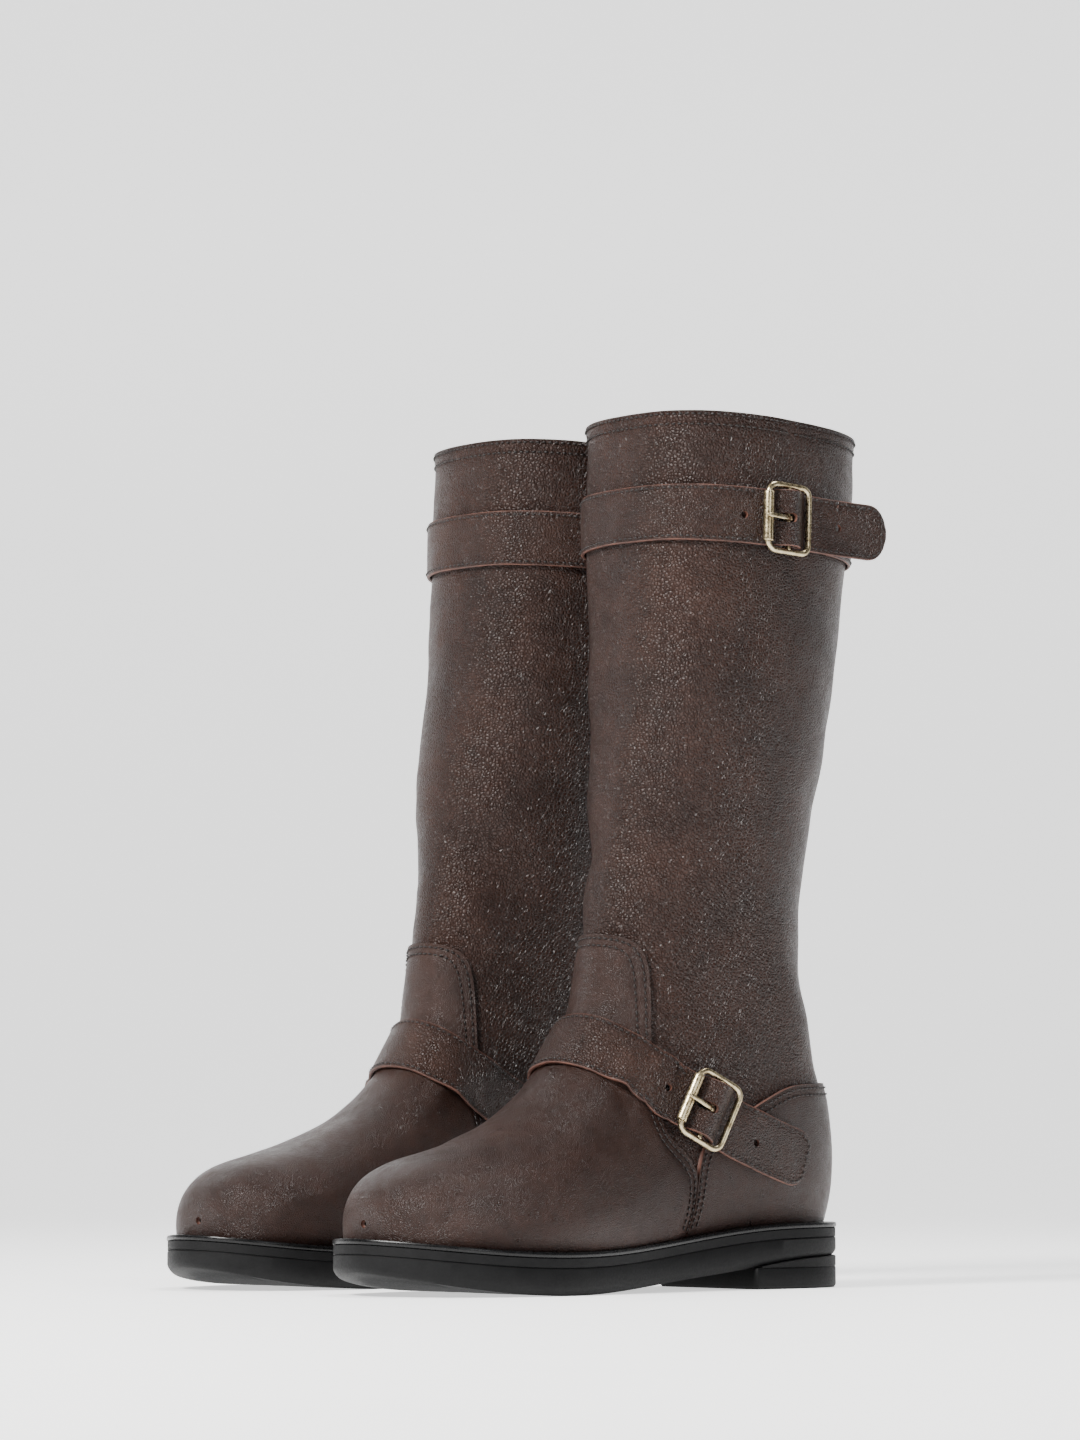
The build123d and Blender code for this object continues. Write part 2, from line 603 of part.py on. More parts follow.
STRAP_RISE = STRAP_CLEARANCE + STRAP_THICKNESS / 2
CHAPE_RISE = STRAP_CLEARANCE + CHAPE_THICKNESS / 2
TAIL_RISE = STRAP_CLEARANCE + CHAPE_THICKNESS + LAYER_GAP + STRAP_THICKNESS / 2
LOOP_RADIUS = BAR_RADIUS + BAR_CLEARANCE + CHAPE_THICKNESS / 2
HUMP = BAR_HEIGHT + LOOP_RADIUS + CHAPE_THICKNESS / 2 + LAYER_GAP + STRAP_THICKNESS / 2


def strap_through(body, plane):
    """The holed strap's way: under the roller, over the centre bar, under the rear wire."""
    return [
        on_leather(body, plane, -24.0, STRAP_RISE),
        on_leather(body, plane, -18.0, STRAP_RISE),
        on_leather(body, plane, -WIRE_X - 1.0, STRAP_RISE),
        on_leather(body, plane, -WIRE_X + 2.2, STRAP_RISE + 0.9),
        (-5.6, BAR_HEIGHT + 0.4), (-2.4, HUMP - 0.9), (0.4, HUMP), (3.6, HUMP - 1.2),
        (6.6, BAR_HEIGHT + 0.3),
        on_leather(body, plane, WIRE_X - 2.6, TAIL_RISE + 0.6),
        on_leather(body, plane, WIRE_X + 0.6, TAIL_RISE),
        on_leather(body, plane, WIRE_X + 6.0, TAIL_RISE),
    ]


def chape_through(body, plane):
    """The chape's way: under the rear wire to the centre bar, round it and back over itself."""
    path = [on_leather(body, plane, 22.0, CHAPE_RISE), on_leather(body, plane, 16.0, CHAPE_RISE),
            on_leather(body, plane, WIRE_X, CHAPE_RISE), on_leather(body, plane, 7.6, CHAPE_RISE + 0.3),
            (4.0, BAR_HEIGHT - 3.4)]
    for turn in range(-75, -331, -32):
        path.append((LOOP_RADIUS * cos(radians(turn)), BAR_HEIGHT + LOOP_RADIUS * sin(radians(turn))))
    path.append((3.4, BAR_HEIGHT - 0.3))
    path.append((5.0, BAR_HEIGHT - 1.7))
    return path


def set_of_buckle(prefix, plane):
    """The three metal pieces of one buckle."""
    pieces[prefix + "_buckle_frame"] = buckle_frame(plane)
    pieces[prefix + "_buckle_roller"] = buckle_roller(plane)
    pieces[prefix + "_buckle_prong"] = buckle_prong(plane)


# The top strap runs level round the shaft: it starts behind the medial side, where it is sewn
# down, passes the front and reaches the buckle on the lateral side. The chape comes from behind.
shaft_axis = (-8.0 * ACROSS, -52.0 * ALONG)
STRAP_TILT = 0.045         # the strap is this much higher at the front, per millimetre


def top_ray(angle):
    """A level ray from the shaft's middle: 0 is lateral, 90 is the front."""
    x, y = cos(radians(angle)), -sin(radians(angle))
    base = height(TOP_STRAP_HEIGHT)
    return ((shaft_axis[0], shaft_axis[1], base), (x, y, -y * STRAP_TILT))


TOP_BUCKLE_ANGLE = 9.5
TOP_CHAPE_LIFT = 0.4       # the flat chape stands off the flared shaft this much more
top_origin, top_direction = top_ray(TOP_BUCKLE_ANGLE)
top_plane = buckle_plane(shaft_outer, top_origin, top_direction, Vector(0, 1, -STRAP_TILT))
front_run = ray_frames(shaft_outer, [top_ray(angle) for angle in range(262, 40, -6)], STRAP_RISE)
tail_way = [(26.0, -0.2), (34.0, 0.2), (42.0, 0.9), (50.0, 1.8), (56.0, 2.4), (59.5, 2.8), (61.0, 3.0)]
tail_base = on_leather(shaft_outer, top_plane, WIRE_X + 6.0, TAIL_RISE)[1]
top_tail = over_buckle(top_plane, strap_through(shaft_outer, top_plane)
                       + [(x, tail_base + z) for x, z in tail_way])
top_strap = ribbon(front_run + top_tail, STRAP_WIDTH, STRAP_THICKNESS, tip=(0.96, 0.8, 0.45))
pieces["top_strap"] = slotted(top_strap, top_plane, -6.6, 0.2)
rear_run = ray_frames(shaft_outer, [top_ray(angle) for angle in range(-96, -28, 6)],
                      CHAPE_RISE + TOP_CHAPE_LIFT)
top_way = in_buckle_plane(top_plane, rear_run) + chape_through(shaft_outer, top_plane)
top_chape = folded_band(top_plane, top_way, CHAPE_WIDTH, CHAPE_THICKNESS)
pieces["top_strap_chape"] = slotted(top_chape, top_plane, -8.0, 4.2)
set_of_buckle("top", top_plane)

# The ankle strap comes from the medial side of the heel, crosses the instep and falls to the
# buckle on the lateral side. Its tail and its chape run on down towards the heel.
ANKLE_BUCKLE_S = 102.4
ANKLE_SLOPE = 0.517        # fall of the strap at the buckle, per millimetre towards the heel
INSTEP_SLOPE = 0.69        # rise of the strap from the buckle to the instep
TAIL_CURVE = 0.0022
ANKLE_LIFT = 1.8           # the hollow side of the ankle holds the buckle this much further out
FLAT_BAND_LIFT = 0.5       # a band that keeps its plane stands off the curved leather this much more


def heel_height(s):
    """Height of the ankle strap's middle behind the buckle."""
    away = ANKLE_BUCKLE_S - s
    return ANKLE_STRAP_HEIGHT - ANKLE_SLOPE * away + TAIL_CURVE * away ** 2


def heel_ray(s, way):
    """A ray square to the boot's side, towards the lateral side (1) or the medial side (-1)."""
    return ((0, -s * ALONG, heel_height(s)), (way, 0, 0))


def ankle_ray(angle):
    """A ray from the middle of the ankle in the strap's plane: 0 is lateral, 90 is the instep."""
    x, forward = cos(radians(angle)), sin(radians(angle))
    slope = ANKLE_SLOPE + (INSTEP_SLOPE - ANKLE_SLOPE) * forward ** 2
    return ((0, -ANKLE_BUCKLE_S * ALONG, ANKLE_STRAP_HEIGHT), (x, -forward, forward * slope))


ankle_plane = buckle_plane(overlay_outer, *heel_ray(ANKLE_BUCKLE_S, 1), Vector(0, 1, -ANKLE_SLOPE),
                           ANKLE_LIFT)
medial_run = ray_frames(overlay_outer, [heel_ray(s, -1) for s in (46, 58, 70, 82, 94)], STRAP_RISE)
instep_angles = (180, 168, 157, 147, 137, 128, 119, 111, 103, 95, 87, 79, 71, 64, 57, 50, 43, 36)
instep_run = ray_frames(overlay_outer, [ankle_ray(angle) for angle in instep_angles], STRAP_RISE)
tail_run = ray_frames(overlay_outer, [heel_ray(s, 1) for s in (75, 67, 59, 51, 45, 41, 38.5)],
                      TAIL_RISE + FLAT_BAND_LIFT)
ankle_way = over_buckle(ankle_plane, strap_through(overlay_outer, ankle_plane))
ankle_strap = ribbon(medial_run + instep_run + ankle_way + tail_run, STRAP_WIDTH, STRAP_THICKNESS,
                     tip=(0.97, 0.9, 0.72, 0.4))
pieces["ankle_strap"] = slotted(ankle_strap, ankle_plane, -6.6, 0.2)
heel_run = ray_frames(overlay_outer, [heel_ray(s, 1) for s in (52, 60, 68)], CHAPE_RISE)
heel_way = in_buckle_plane(ankle_plane, heel_run) + chape_through(overlay_outer, ankle_plane)
ankle_chape = folded_band(ankle_plane, heel_way, CHAPE_WIDTH, CHAPE_THICKNESS)
pieces["ankle_strap_chape"] = slotted(ankle_chape, ankle_plane, -8.0, 4.2)
set_of_buckle("ankle", ankle_plane)

# ---------------------------------------------------------------- the pair
pair_box = [piece.bounding_box() for piece in pieces.values()]
low_x = min(box.min.X for box in pair_box)
low_y = min(box.min.Y for box in pair_box)
high_y = max(box.max.Y for box in pair_box)
low_z = min(box.min.Z for box in pair_box)
middle_y = (low_y + high_y) / 2
half_spacing = PAIR_GAP / 2 - low_x
LEFT_PLACE = Location((half_spacing, -middle_y, -low_z))
RIGHT_PLACE = Location((-half_spacing, -middle_y, -low_z))


def hand_in(name, piece, place):
    """Write one piece where it stands in the pair."""
    with BuildPart() as placed:
        with Locations(place):
            add(piece)
    placed.part.label = name
    export_step(placed.part, f"parts/{name}.step")


for name, piece in pieces.items():
    hand_in("left_" + name, piece, LEFT_PLACE)
    hand_in("right_" + name, mirror(piece, about=Plane.YZ), RIGHT_PLACE)
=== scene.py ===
"""A pair of dark brown leather riding boots: upper, straps, buckles and soles round the CAD frame."""
import itertools
import json
import math

import bpy
import numpy as np
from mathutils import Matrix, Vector
from mathutils.bvhtree import BVHTree


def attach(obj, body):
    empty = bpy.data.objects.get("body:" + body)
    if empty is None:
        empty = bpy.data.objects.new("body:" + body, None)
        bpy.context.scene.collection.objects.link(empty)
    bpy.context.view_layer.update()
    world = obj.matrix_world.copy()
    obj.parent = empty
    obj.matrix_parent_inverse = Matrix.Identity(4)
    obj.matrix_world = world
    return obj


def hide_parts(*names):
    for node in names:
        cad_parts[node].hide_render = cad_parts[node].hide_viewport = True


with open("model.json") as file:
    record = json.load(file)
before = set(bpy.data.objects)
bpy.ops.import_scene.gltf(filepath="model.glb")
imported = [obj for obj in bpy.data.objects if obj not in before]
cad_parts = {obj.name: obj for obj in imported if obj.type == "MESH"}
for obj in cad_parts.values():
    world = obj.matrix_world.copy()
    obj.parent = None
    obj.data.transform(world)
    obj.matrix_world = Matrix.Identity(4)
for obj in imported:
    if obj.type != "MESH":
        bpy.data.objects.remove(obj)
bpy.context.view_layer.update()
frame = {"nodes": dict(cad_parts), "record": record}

MM = 0.001
RECORD = frame["record"]
MOUNTS = {mount["name"]: mount for mount in RECORD["mounts"]}
JOINTS = {joint["name"]: joint for joint in RECORD["behaviour"]["joints"]}
ROOT = "boots"

# ------------------------------------------------------------------ places, from the frame
HEEL_REST_S = 34.0         # the heel's rest mount lies this far in front of the back of the heel
left_rest = np.array(MOUNTS["left_heel_rest"]["pos_m"]) / MM
right_rest = np.array(MOUNTS["right_heel_rest"]["pos_m"]) / MM
CENTRE_X = left_rest[0]
HEEL_Y = left_rest[1] + HEEL_REST_S
FLOOR = left_rest[2]
RIGHT_STEP = left_rest[1] - right_rest[1]

# ------------------------------------------------------------------ the last (mm)
# Sections of the upper: back s, back z, front s, front z, lateral half width, medial half width,
# side offset, side shift of the front ridge, widest place, roundness of the back and the front.
SECTIONS = (
    (267.3, 31.5, 267.4, 33.5, 1.5, 1.5, -6.0, 0.0, 0.50, 2.2, 2.2),
    (266.3, 27.0, 266.8, 38.0, 9.0, 9.0, -6.0, 0.0, 0.50, 2.2, 2.2),
    (262.5, 14.0, 264.0, 45.5, 20.5, 19.5, -5.0, -1.0, 0.50, 2.4, 2.2),
    (254.0, 9.0, 257.5, 51.0, 28.5, 27.0, -4.0, -2.0, 0.50, 2.4, 2.4),
    (240.0, 6.0, 247.0, 56.0, 35.5, 34.0, -2.0, -4.0, 0.48, 2.4, 2.4),
    (220.0, 4.0, 229.5, 60.5, 41.5, 40.0, 0.0, -6.0, 0.48, 2.4, 2.3),
    (195.0, 4.0, 206.0, 67.5, 44.5, 42.5, 1.0, -8.0, 0.46, 2.4, 2.25),
    (166.0, 4.0, 182.0, 78.0, 42.5, 40.5, 1.0, -9.0, 0.44, 2.4, 2.2),
    (134.0, 6.0, 162.0, 93.0, 38.0, 36.5, 0.0, -9.0, 0.44, 2.4, 2.2),
    (98.0, 8.0, 145.5, 114.5, 34.0, 34.0, -1.0, -7.0, 0.46, 2.4, 2.2),
    (56.0, 10.0, 136.5, 142.0, 34.0, 34.0, -1.0, -5.0, 0.48, 2.4, 2.2),
    (18.0, 12.0, 132.5, 169.0, 36.0, 36.0, -1.0, -3.0, 0.50, 2.5, 2.2),
    (2.0, 40.0, 130.0, 196.5, 38.5, 38.5, -1.5, -2.0, 0.50, 2.4, 2.15),
    (7.0, 84.0, 127.0, 221.5, 41.5, 41.5, -2.0, 0.0, 0.50, 2.25, 2.15),
    (21.0, 126.0, 125.0, 246.0, 45.5, 45.5, -3.0, 0.0, 0.50, 2.2, 2.15),
    (22.0, 172.0, 121.0, 268.0, 48.0, 48.0, -4.0, 0.0, 0.50, 2.2, 2.2),
    (11.0, 228.0, 118.0, 298.0, 51.0, 51.0, -5.5, 0.0, 0.50, 2.25, 2.25),
    (-2.0, 286.0, 116.0, 328.0, 53.5, 53.5, -7.0, 0.0, 0.50, 2.3, 2.3),
    (-11.0, 346.0, 114.5, 366.0, 55.0, 55.0, -8.5, 0.0, 0.50, 2.4, 2.4),
    (-14.5, 384.0, 112.5, 394.0, 55.5, 55.5, -9.5, 0.0, 0.50, 2.5, 2.5),
    (-15.5, 409.0, 111.0, 415.0, 55.5, 55.5, -10.0, 0.0, 0.50, 2.55, 2.55),
)
ROW_STEP = 1.9             # spacing of the surface grid
COLUMNS = 200
SOLE_OUTLINE = (
    (-1, 0), (6, 24), (32, 35.5), (70, 34.5), (105, 34.5), (140, 40), (175, 48), (205, 51),
    (238, 45), (263, 28.5), (277, 8), (279.5, -6), (274, -24), (254, -40.5), (218, -49),
    (185, -46.5), (150, -37.5), (115, -33), (75, -33), (32, -34.5), (6, -24),
)
WELT_LINE = ((-40, 31), (0, 31), (30, 31), (60, 30), (100, 26), (150, 21), (190, 19.5), (240, 21.5),
             (280, 26), (320, 31))
SOLE_BOTTOM = ((-40, 15), (20, 15), (48, 13.2), (70, 10), (110, 5.6), (150, 1.9), (190, 0), (235, 2.4),
               (280, 10.5), (320, 22))
WELT_BOTTOM = 2.55         # down from the welt's top, like the next
MIDSOLE_BOTTOM = 7.05
SOLE_GAP = 0.05            # between two layers of the sole
HEEL_LIFT_HEIGHT = 10.0    # floor to the underside of the heel's wedge
LIFT_GAP = 0.06            # above and below the wedge
HEEL_LENGTH = 68.0
HEEL_BASE_LENGTH = 65.0

# Side view of the pattern pieces: s and z.
VAMP_EDGE = ((150, 168), (136, 167), (129, 164), (124.5, 160), (122.2, 152), (122.0, 140), (123.5, 117),
             (125.5, 95), (124.5, 76), (120, 69), (107, 58.5), (104.5, 49), (106, 37), (112, 20),
             (114, -20))
COUNTER_EDGE = ((-40, 96.0), (20, 96.5), (38, 96.4), (50, 95), (62.6, 89.5), (75, 83), (93, 74.5),
                (101.5, 66), (104.5, 56), (105.2, 47), (107, 36), (112.5, 20), (115, -20))
SHAFT_EDGE = ((170, 150), (150, 142), (137, 100), (134, 62), (120, 47), (119, 20), (120, -20))
OVERLAY = 2.2              # outer face of the vamp and the counter cover over the shaft's
OVERLAY_INNER = 0.3
SHAFT_INNER = -1.75
LINING_CLEARANCE = 0.12
MOST_LIFT = 4.0
COUNTER_HEIGHT = OVERLAY + 0.27    # the counter cover lies over the vamp's edge
RIM_SEAMS = (2.2, 7.0)     # rows of stitches, from the edge of each piece
VAMP_SEAMS = (1.9, 5.2)
COUNTER_SEAMS = (1.9, 5.0)

STRAP_WIDTH = 27.0
STRAP_THICKNESS = 1.8
CHAPE_THICKNESS = 1.2
CHAPE_WIDTH = 25.5
STRAP_CLEARANCE = 0.6      # between a strap and the leather below it
LAYER_GAP = 0.3            # between the strap's tail and the chape below it
STRAP_RISE = STRAP_CLEARANCE + STRAP_THICKNESS / 2
CHAPE_RISE = STRAP_CLEARANCE + CHAPE_THICKNESS / 2
TAIL_RISE = STRAP_CLEARANCE + CHAPE_THICKNESS + LAYER_GAP + STRAP_THICKNESS / 2
# Holes in the plane of the buckle: x, length, width.
STRAP_HOLES = ((-3.2, 9.0, 4.4), (-22.5, 3.4, 3.4), (33.0, 3.4, 3.4))
CHAPE_HOLES = ((-1.9, 13.0, 4.4),)
STITCH_INSET = 1.9
STITCH_PITCH = 3.1
STITCH_LENGTH = 2.3
STITCH_RADIUS = 0.42
BAR_HEIGHT = 5.7
WIRE_X = 12.25
WIRE_Y = 15.8
WIRE_RADIUS = 1.5
BUCKLE_CORNER = 4.5
BAR_RADIUS = 1.3
ROLLER_RADIUS = 2.6
ROLLER_LENGTH = 24.0


# ------------------------------------------------------------------ numbers and curves
def cubic(knots, values, at):
    """A natural cubic spline through values at knots, read at many places."""
    knots = np.asarray(knots, float)
    values = np.asarray(values, float)
    shape = values.shape[1:]
    flat = values.reshape(len(knots), -1)
    step = np.diff(knots)
    count = len(knots)
    system = np.zeros((count, count))
    right = np.zeros_like(flat)
    system[0, 0] = system[-1, -1] = 1.0
    for i in range(1, count - 1):
        system[i, i - 1] = step[i - 1]
        system[i, i] = 2 * (step[i - 1] + step[i])
        system[i, i + 1] = step[i]
        right[i] = 6 * ((flat[i + 1] - flat[i]) / step[i] - (flat[i] - flat[i - 1]) / step[i - 1])
    curve = np.linalg.solve(system, right)
    at = np.asarray(at, float)
    k = np.clip(np.searchsorted(knots, at) - 1, 0, count - 2)
    h = step[k][:, None]
    a = (knots[k + 1] - at)[:, None] / h
    b = 1 - a
    out = a * flat[k] + b * flat[k + 1]
    out += ((a ** 3 - a) * curve[k] + (b ** 3 - b) * curve[k + 1]) * h ** 2 / 6
    return out.reshape((len(at),) + shape)


def smooth_line(points, step, closed=False):
    """A smooth curve through points, sampled about every `step`."""
    points = np.asarray(points, float)
    if closed:
        pad = 4
        points = np.vstack([points[-pad:], points, points[:pad + 1]])
    knots = np.r_[0, np.cumsum(np.linalg.norm(np.diff(points, axis=0), axis=1) ** 0.5)]
    first, last = (knots[4], knots[-5]) if closed else (knots[0], knots[-1])
    fine = cubic(knots, points, np.linspace(first, last, 60 * len(points)))
    return even_line(fine, step)


def even_line(points, step):
    """A polyline with its points moved to even steps."""
    run = np.r_[0, np.cumsum(np.linalg.norm(np.diff(points, axis=0), axis=1))]
    count = max(int(round(run[-1] / step)), 2)
    at = np.linspace(0, run[-1], count + 1)
    return np.stack([np.interp(at, run, points[:, k]) for k in range(points.shape[1])], 1)


def rounded(points, passes=3):
    """A polyline with its corners cut, its ends kept."""
    points = np.asarray(points, float)
    for _ in range(passes):
        before, after = points[:-1], points[1:]
        cut = np.stack([before * 0.75 + after * 0.25, before * 0.25 + after * 0.75], 1).reshape(-1, 2)
        points = np.vstack([points[:1], cut, points[-1:]])
    return points


def normalised(vectors):
    """Vectors brought to length 1."""
    return vectors / np.maximum(np.linalg.norm(vectors, axis=-1, keepdims=True), 1e-12)


def line_distance(points, line):
    """Distance from 2-D points to a polyline."""
    best = np.full(len(points), 1e9)
    for a, b in zip(line[:-1], line[1:]):
        ab = b - a
        t = np.clip(((points - a) @ ab) / max(ab @ ab, 1e-12), 0, 1)
        best = np.minimum(best, np.linalg.norm(points - a - t[:, None] * ab, axis=1))
    return best


def inside_polygon(points, polygon):
    """Whether each 2-D point lies inside a closed polygon."""
    inside = np.zeros(len(points), bool)
    x, y = points[:, 0], points[:, 1]
    for (x1, y1), (x2, y2) in zip(polygon, np.roll(polygon, -1, axis=0)):
        if y1 == y2:
            continue
        crosses = (y1 > y) != (y2 > y)
        inside ^= crosses & (x < (x2 - x1) * (y - y1) / (y2 - y1) + x1)
    return inside


def read_line(line, s):
    """Height of a side-view line at s."""
    line = np.array(line, float)
    return cubic(line[:, 0], line[:, 1:], np.asarray(s, float).ravel())[:, 0].reshape(np.shape(s))


def welt_height(s):
    return read_line(WELT_LINE, s)


def bottom_height(s):
    return read_line(SOLE_BOTTOM, s)


def grid_quads(rows, cols, closed=False):
    """Quads of a grid whose columns close on themselves, and its rows too if `closed`."""
    i = np.arange(rows if closed else rows - 1)[:, None]
    j = np.arange(cols)[None, :]
    above, beside = (i + 1) % rows, (j + 1) % cols
    corners = (i * cols + j, i * cols + beside, above * cols + beside, above * cols + j)
    return np.stack(np.broadcast_arrays(*corners), -1).reshape(-1, 4)


def end_caps(rows, cols):
    """The faces that close a run of rings at both ends."""
    return [list(reversed(range(cols))), list(range((rows - 1) * cols, rows * cols))]


# ------------------------------------------------------------------ the upper's surface
def oval(section):
    """One closed section as points (s, x, z)."""
    back_s, back_z, front_s, front_z, lateral, medial, offset, ridge, widest, low, top = section
    angle = np.linspace(0, 2 * np.pi, COLUMNS, endpoint=False)
    rise, reach = np.sin(angle), np.cos(angle)
    power = 2 / np.where(rise > 0, top, low)
    up = np.sign(rise) * np.abs(rise) ** power
    out = np.sign(reach) * np.abs(reach) ** power
    share = np.where(rise > 0, widest + (1 - widest) * up, widest + widest * up)
    x = np.where(reach > 0, lateral, medial) * out + offset
    x = x + ridge * np.clip((share - widest) / (1 - widest), 0, 1)
    return np.stack([back_s + (front_s - back_s) * share, x, back_z + (front_z - back_z) * share], 1)


def waves(points, rng, count, longest, shortest):
    """Smooth seeded noise, about -1 to 1."""
    total = np.zeros(points.shape[:-1])
    for _ in range(count):
        direction = normalised(rng.normal(size=3))
        length = rng.uniform(shortest, longest)
        total += np.sin(points @ direction * 2 * np.pi / length + rng.uniform(0, 2 * np.pi))
    return total / math.sqrt(count)


# Soft folds of the leather, seen from the side: s, z, direction in degrees, half length, half
# width, height, and which side of the boot they lie on (1 lateral, -1 medial, 0 both).
FOLDS = (
    (112, 142, 38, 34, 10, -1.5, 1), (96, 118, 30, 30, 9, 1.0, 1), (78, 150, 52, 40, 12, -1.0, 1),
    (60, 178, 20, 40, 12, 0.9, 1), (92, 210, -12, 45, 14, -0.9, 1), (70, 262, 16, 55, 18, 0.8, 1),
    (85, 306, -14, 50, 18, -0.9, 1), (40, 236, 24, 40, 14, -0.8, 1),
    (106, 150, 42, 30, 9, -1.5, -1), (92, 128, 28, 30, 9, 1.1, -1), (110, 196, 14, 26, 9, -1.3, -1),
    (96, 222, 20, 34, 10, 1.0, -1), (104, 248, 10, 28, 9, -1.1, -1), (86, 276, 24, 40, 13, 0.9, -1),
    (96, 310, 12, 40, 14, -0.9, -1), (60, 170, -20, 40, 12, -0.9, -1),
    (146, 84, -52, 26, 6, -1.1, 0), (136, 72, -40, 22, 5, -0.7, 1), (158, 90, -46, 20, 5, 0.5, 0),
    (138, 74, -46, 20, 5, -0.8, -1), (25, 105, 4, 30, 9, -0.9, 0), (22, 128, -8, 30, 9, 0.8, 0),
)


def folds(points):
    """Height of the soft folds at surface points (s, x, z)."""
    total = np.zeros(points.shape[:-1])
    lateral = np.clip(points[..., 1] / 24 + 0.25, 0, 1)
    medial = np.clip(-points[..., 1] / 24 - 0.25, 0, 1)
    for s, z, turn, half_length, half_width, rise, where in FOLDS:
        c, d = math.cos(math.radians(turn)), math.sin(math.radians(turn))
        along = (points[..., 0] - s) * c + (points[..., 2] - z) * d
        across = -(points[..., 0] - s) * d + (points[..., 2] - z) * c
        across = across + 3.0 * np.sin(along / 17.0 + s)
        shape = np.exp(-(across / half_width) ** 2 - (along / half_length) ** 2)
        share = 1.0 if where == 0 else (lateral if where > 0 else medial)
        total += rise * shape * share
    return total


class Upper:
    """A dense grid over the boot's form, with normals, pattern distances and leather relief."""

    def __init__(self, sign, seed):
        rings = np.array([oval(section) for section in SECTIONS])
        gaps = np.linalg.norm(np.diff(rings, axis=0), axis=2).mean(1)
        knots = np.r_[0, np.cumsum(gaps)]
        self.base = cubic(knots, rings, np.arange(0, knots[-1] + ROW_STEP / 2, ROW_STEP).clip(0, knots[-1]))
        along = np.gradient(self.base, axis=0)
        around = np.roll(self.base, -1, 1) - np.roll(self.base, 1, 1)
        normal = normalised(np.cross(along, around))
        outward = self.base - self.base.mean(1, keepdims=True)
        if (normal * outward).sum() < 0:
            normal = -normal
        self.normal = normal
        rng = np.random.default_rng(seed)
        s, z = self.base[..., 0], self.base[..., 2]
        soft = np.clip((z - 90) / 60, 0, 1) * np.clip((405 - z) / 30, 0, 1)
        self.relief = 0.55 * soft * waves(self.base, rng, 10, 120, 55)
        self.relief += 0.16 * waves(self.base, rng, 14, 34, 16) * np.clip((z - 30) / 30, 0.25, 1)
        self.relief += folds(self.base) * np.clip((400 - z) / 30, 0, 1)
        self.relief = np.clip(self.relief, -1.1, 1.6)
        self.base = self.base + self.normal * self.clear_of_linings(sign)[..., None]
        flat = np.stack([s.ravel(), z.ravel()], 1)
        self.feather = z - welt_height(s)
        back_s, back_z, front_s, front_z = SECTIONS[-1][:4]
        self.rim = (front_z - back_z) / (front_s - back_s) * (s - back_s) + back_z - z
        self.vamp = self.signed(flat, VAMP_EDGE, ((340, -20), (340, 168)))
        self.counter = self.signed(flat, COUNTER_EDGE, ((-90, -20), (-90, 96.0)))
        self.shaft = self.signed(flat, SHAFT_EDGE, ((-90, -20), (-90, 520), (200, 520), (200, 150)))
        deep = np.clip((np.maximum(self.vamp, self.counter) - 1.0) / 5.0, 0, 1)
        self.under_overlay = deep * deep * (3 - 2 * deep)

    def clear_of_linings(self, sign):
        """How far the form moves out so that its inner face stays outside the frame's linings."""
        side = "left" if sign > 0 else "right"
        points, faces = [], []
        for name in ("shaft_lining", "heel_lining", "heel_stiffener", "vamp_interlining", "toe_puff"):
            mesh = frame["nodes"][f"{side}_{name}"].data
            world = np.zeros(len(mesh.vertices) * 3)
            mesh.vertices.foreach_get("co", world)
            faces += [[v + len(points) for v in polygon.vertices] for polygon in mesh.polygons]
            points += to_boot(world.reshape(-1, 3) / MM, sign).tolist()
        tree = BVHTree.FromPolygons(points, faces)
        rows, cols = self.base.shape[:2]
        lift = np.zeros((rows, cols))
        reach = 12.0
        for i in range(0, rows, 2):
            for j in range(0, cols, 2):
                start = self.base[i, j] + self.normal[i, j] * reach
                place, _, _, away = tree.ray_cast(Vector(start), Vector(-self.normal[i, j]), 2 * reach)
                if place is not None:
                    lift[i:i + 2, j:j + 2] = max(reach - away - SHAFT_INNER + LINING_CLEARANCE, 0.0)
        lift = np.minimum(lift, MOST_LIFT)
        for _ in range(4):
            sides = (np.roll(lift, 1, 1), np.roll(lift, -1, 1), np.roll(lift, 1, 0), np.roll(lift, -1, 0))
            lift = np.maximum(lift, 0.94 * np.maximum.reduce(sides))
        for _ in range(6):
            lift = (lift * 2 + np.roll(lift, 1, 1) + np.roll(lift, -1, 1)) / 4
            lift[1:-1] = (lift[1:-1] * 2 + lift[2:] + lift[:-2]) / 4
        return lift

    def signed(self, flat, edge, closing):
        line = rounded(edge)
        polygon = np.vstack([line, np.array(closing, float)])
        distance = line_distance(flat, line)
        return np.where(inside_polygon(flat, polygon), distance, -distance).reshape(self.base.shape[:2])

    def raised(self, height):
        """The surface `height` over the shaft's outer face, with the relief."""
        return self.base + self.normal * (self.relief + height)[..., None]

    def tree(self, height):
        points = self.raised(height)
        rows, cols = points.shape[:2]
        faces = grid_quads(rows, cols)
        return BVHTree.FromPolygons([Vector(p) for p in points.reshape(-1, 3)], faces.tolist())


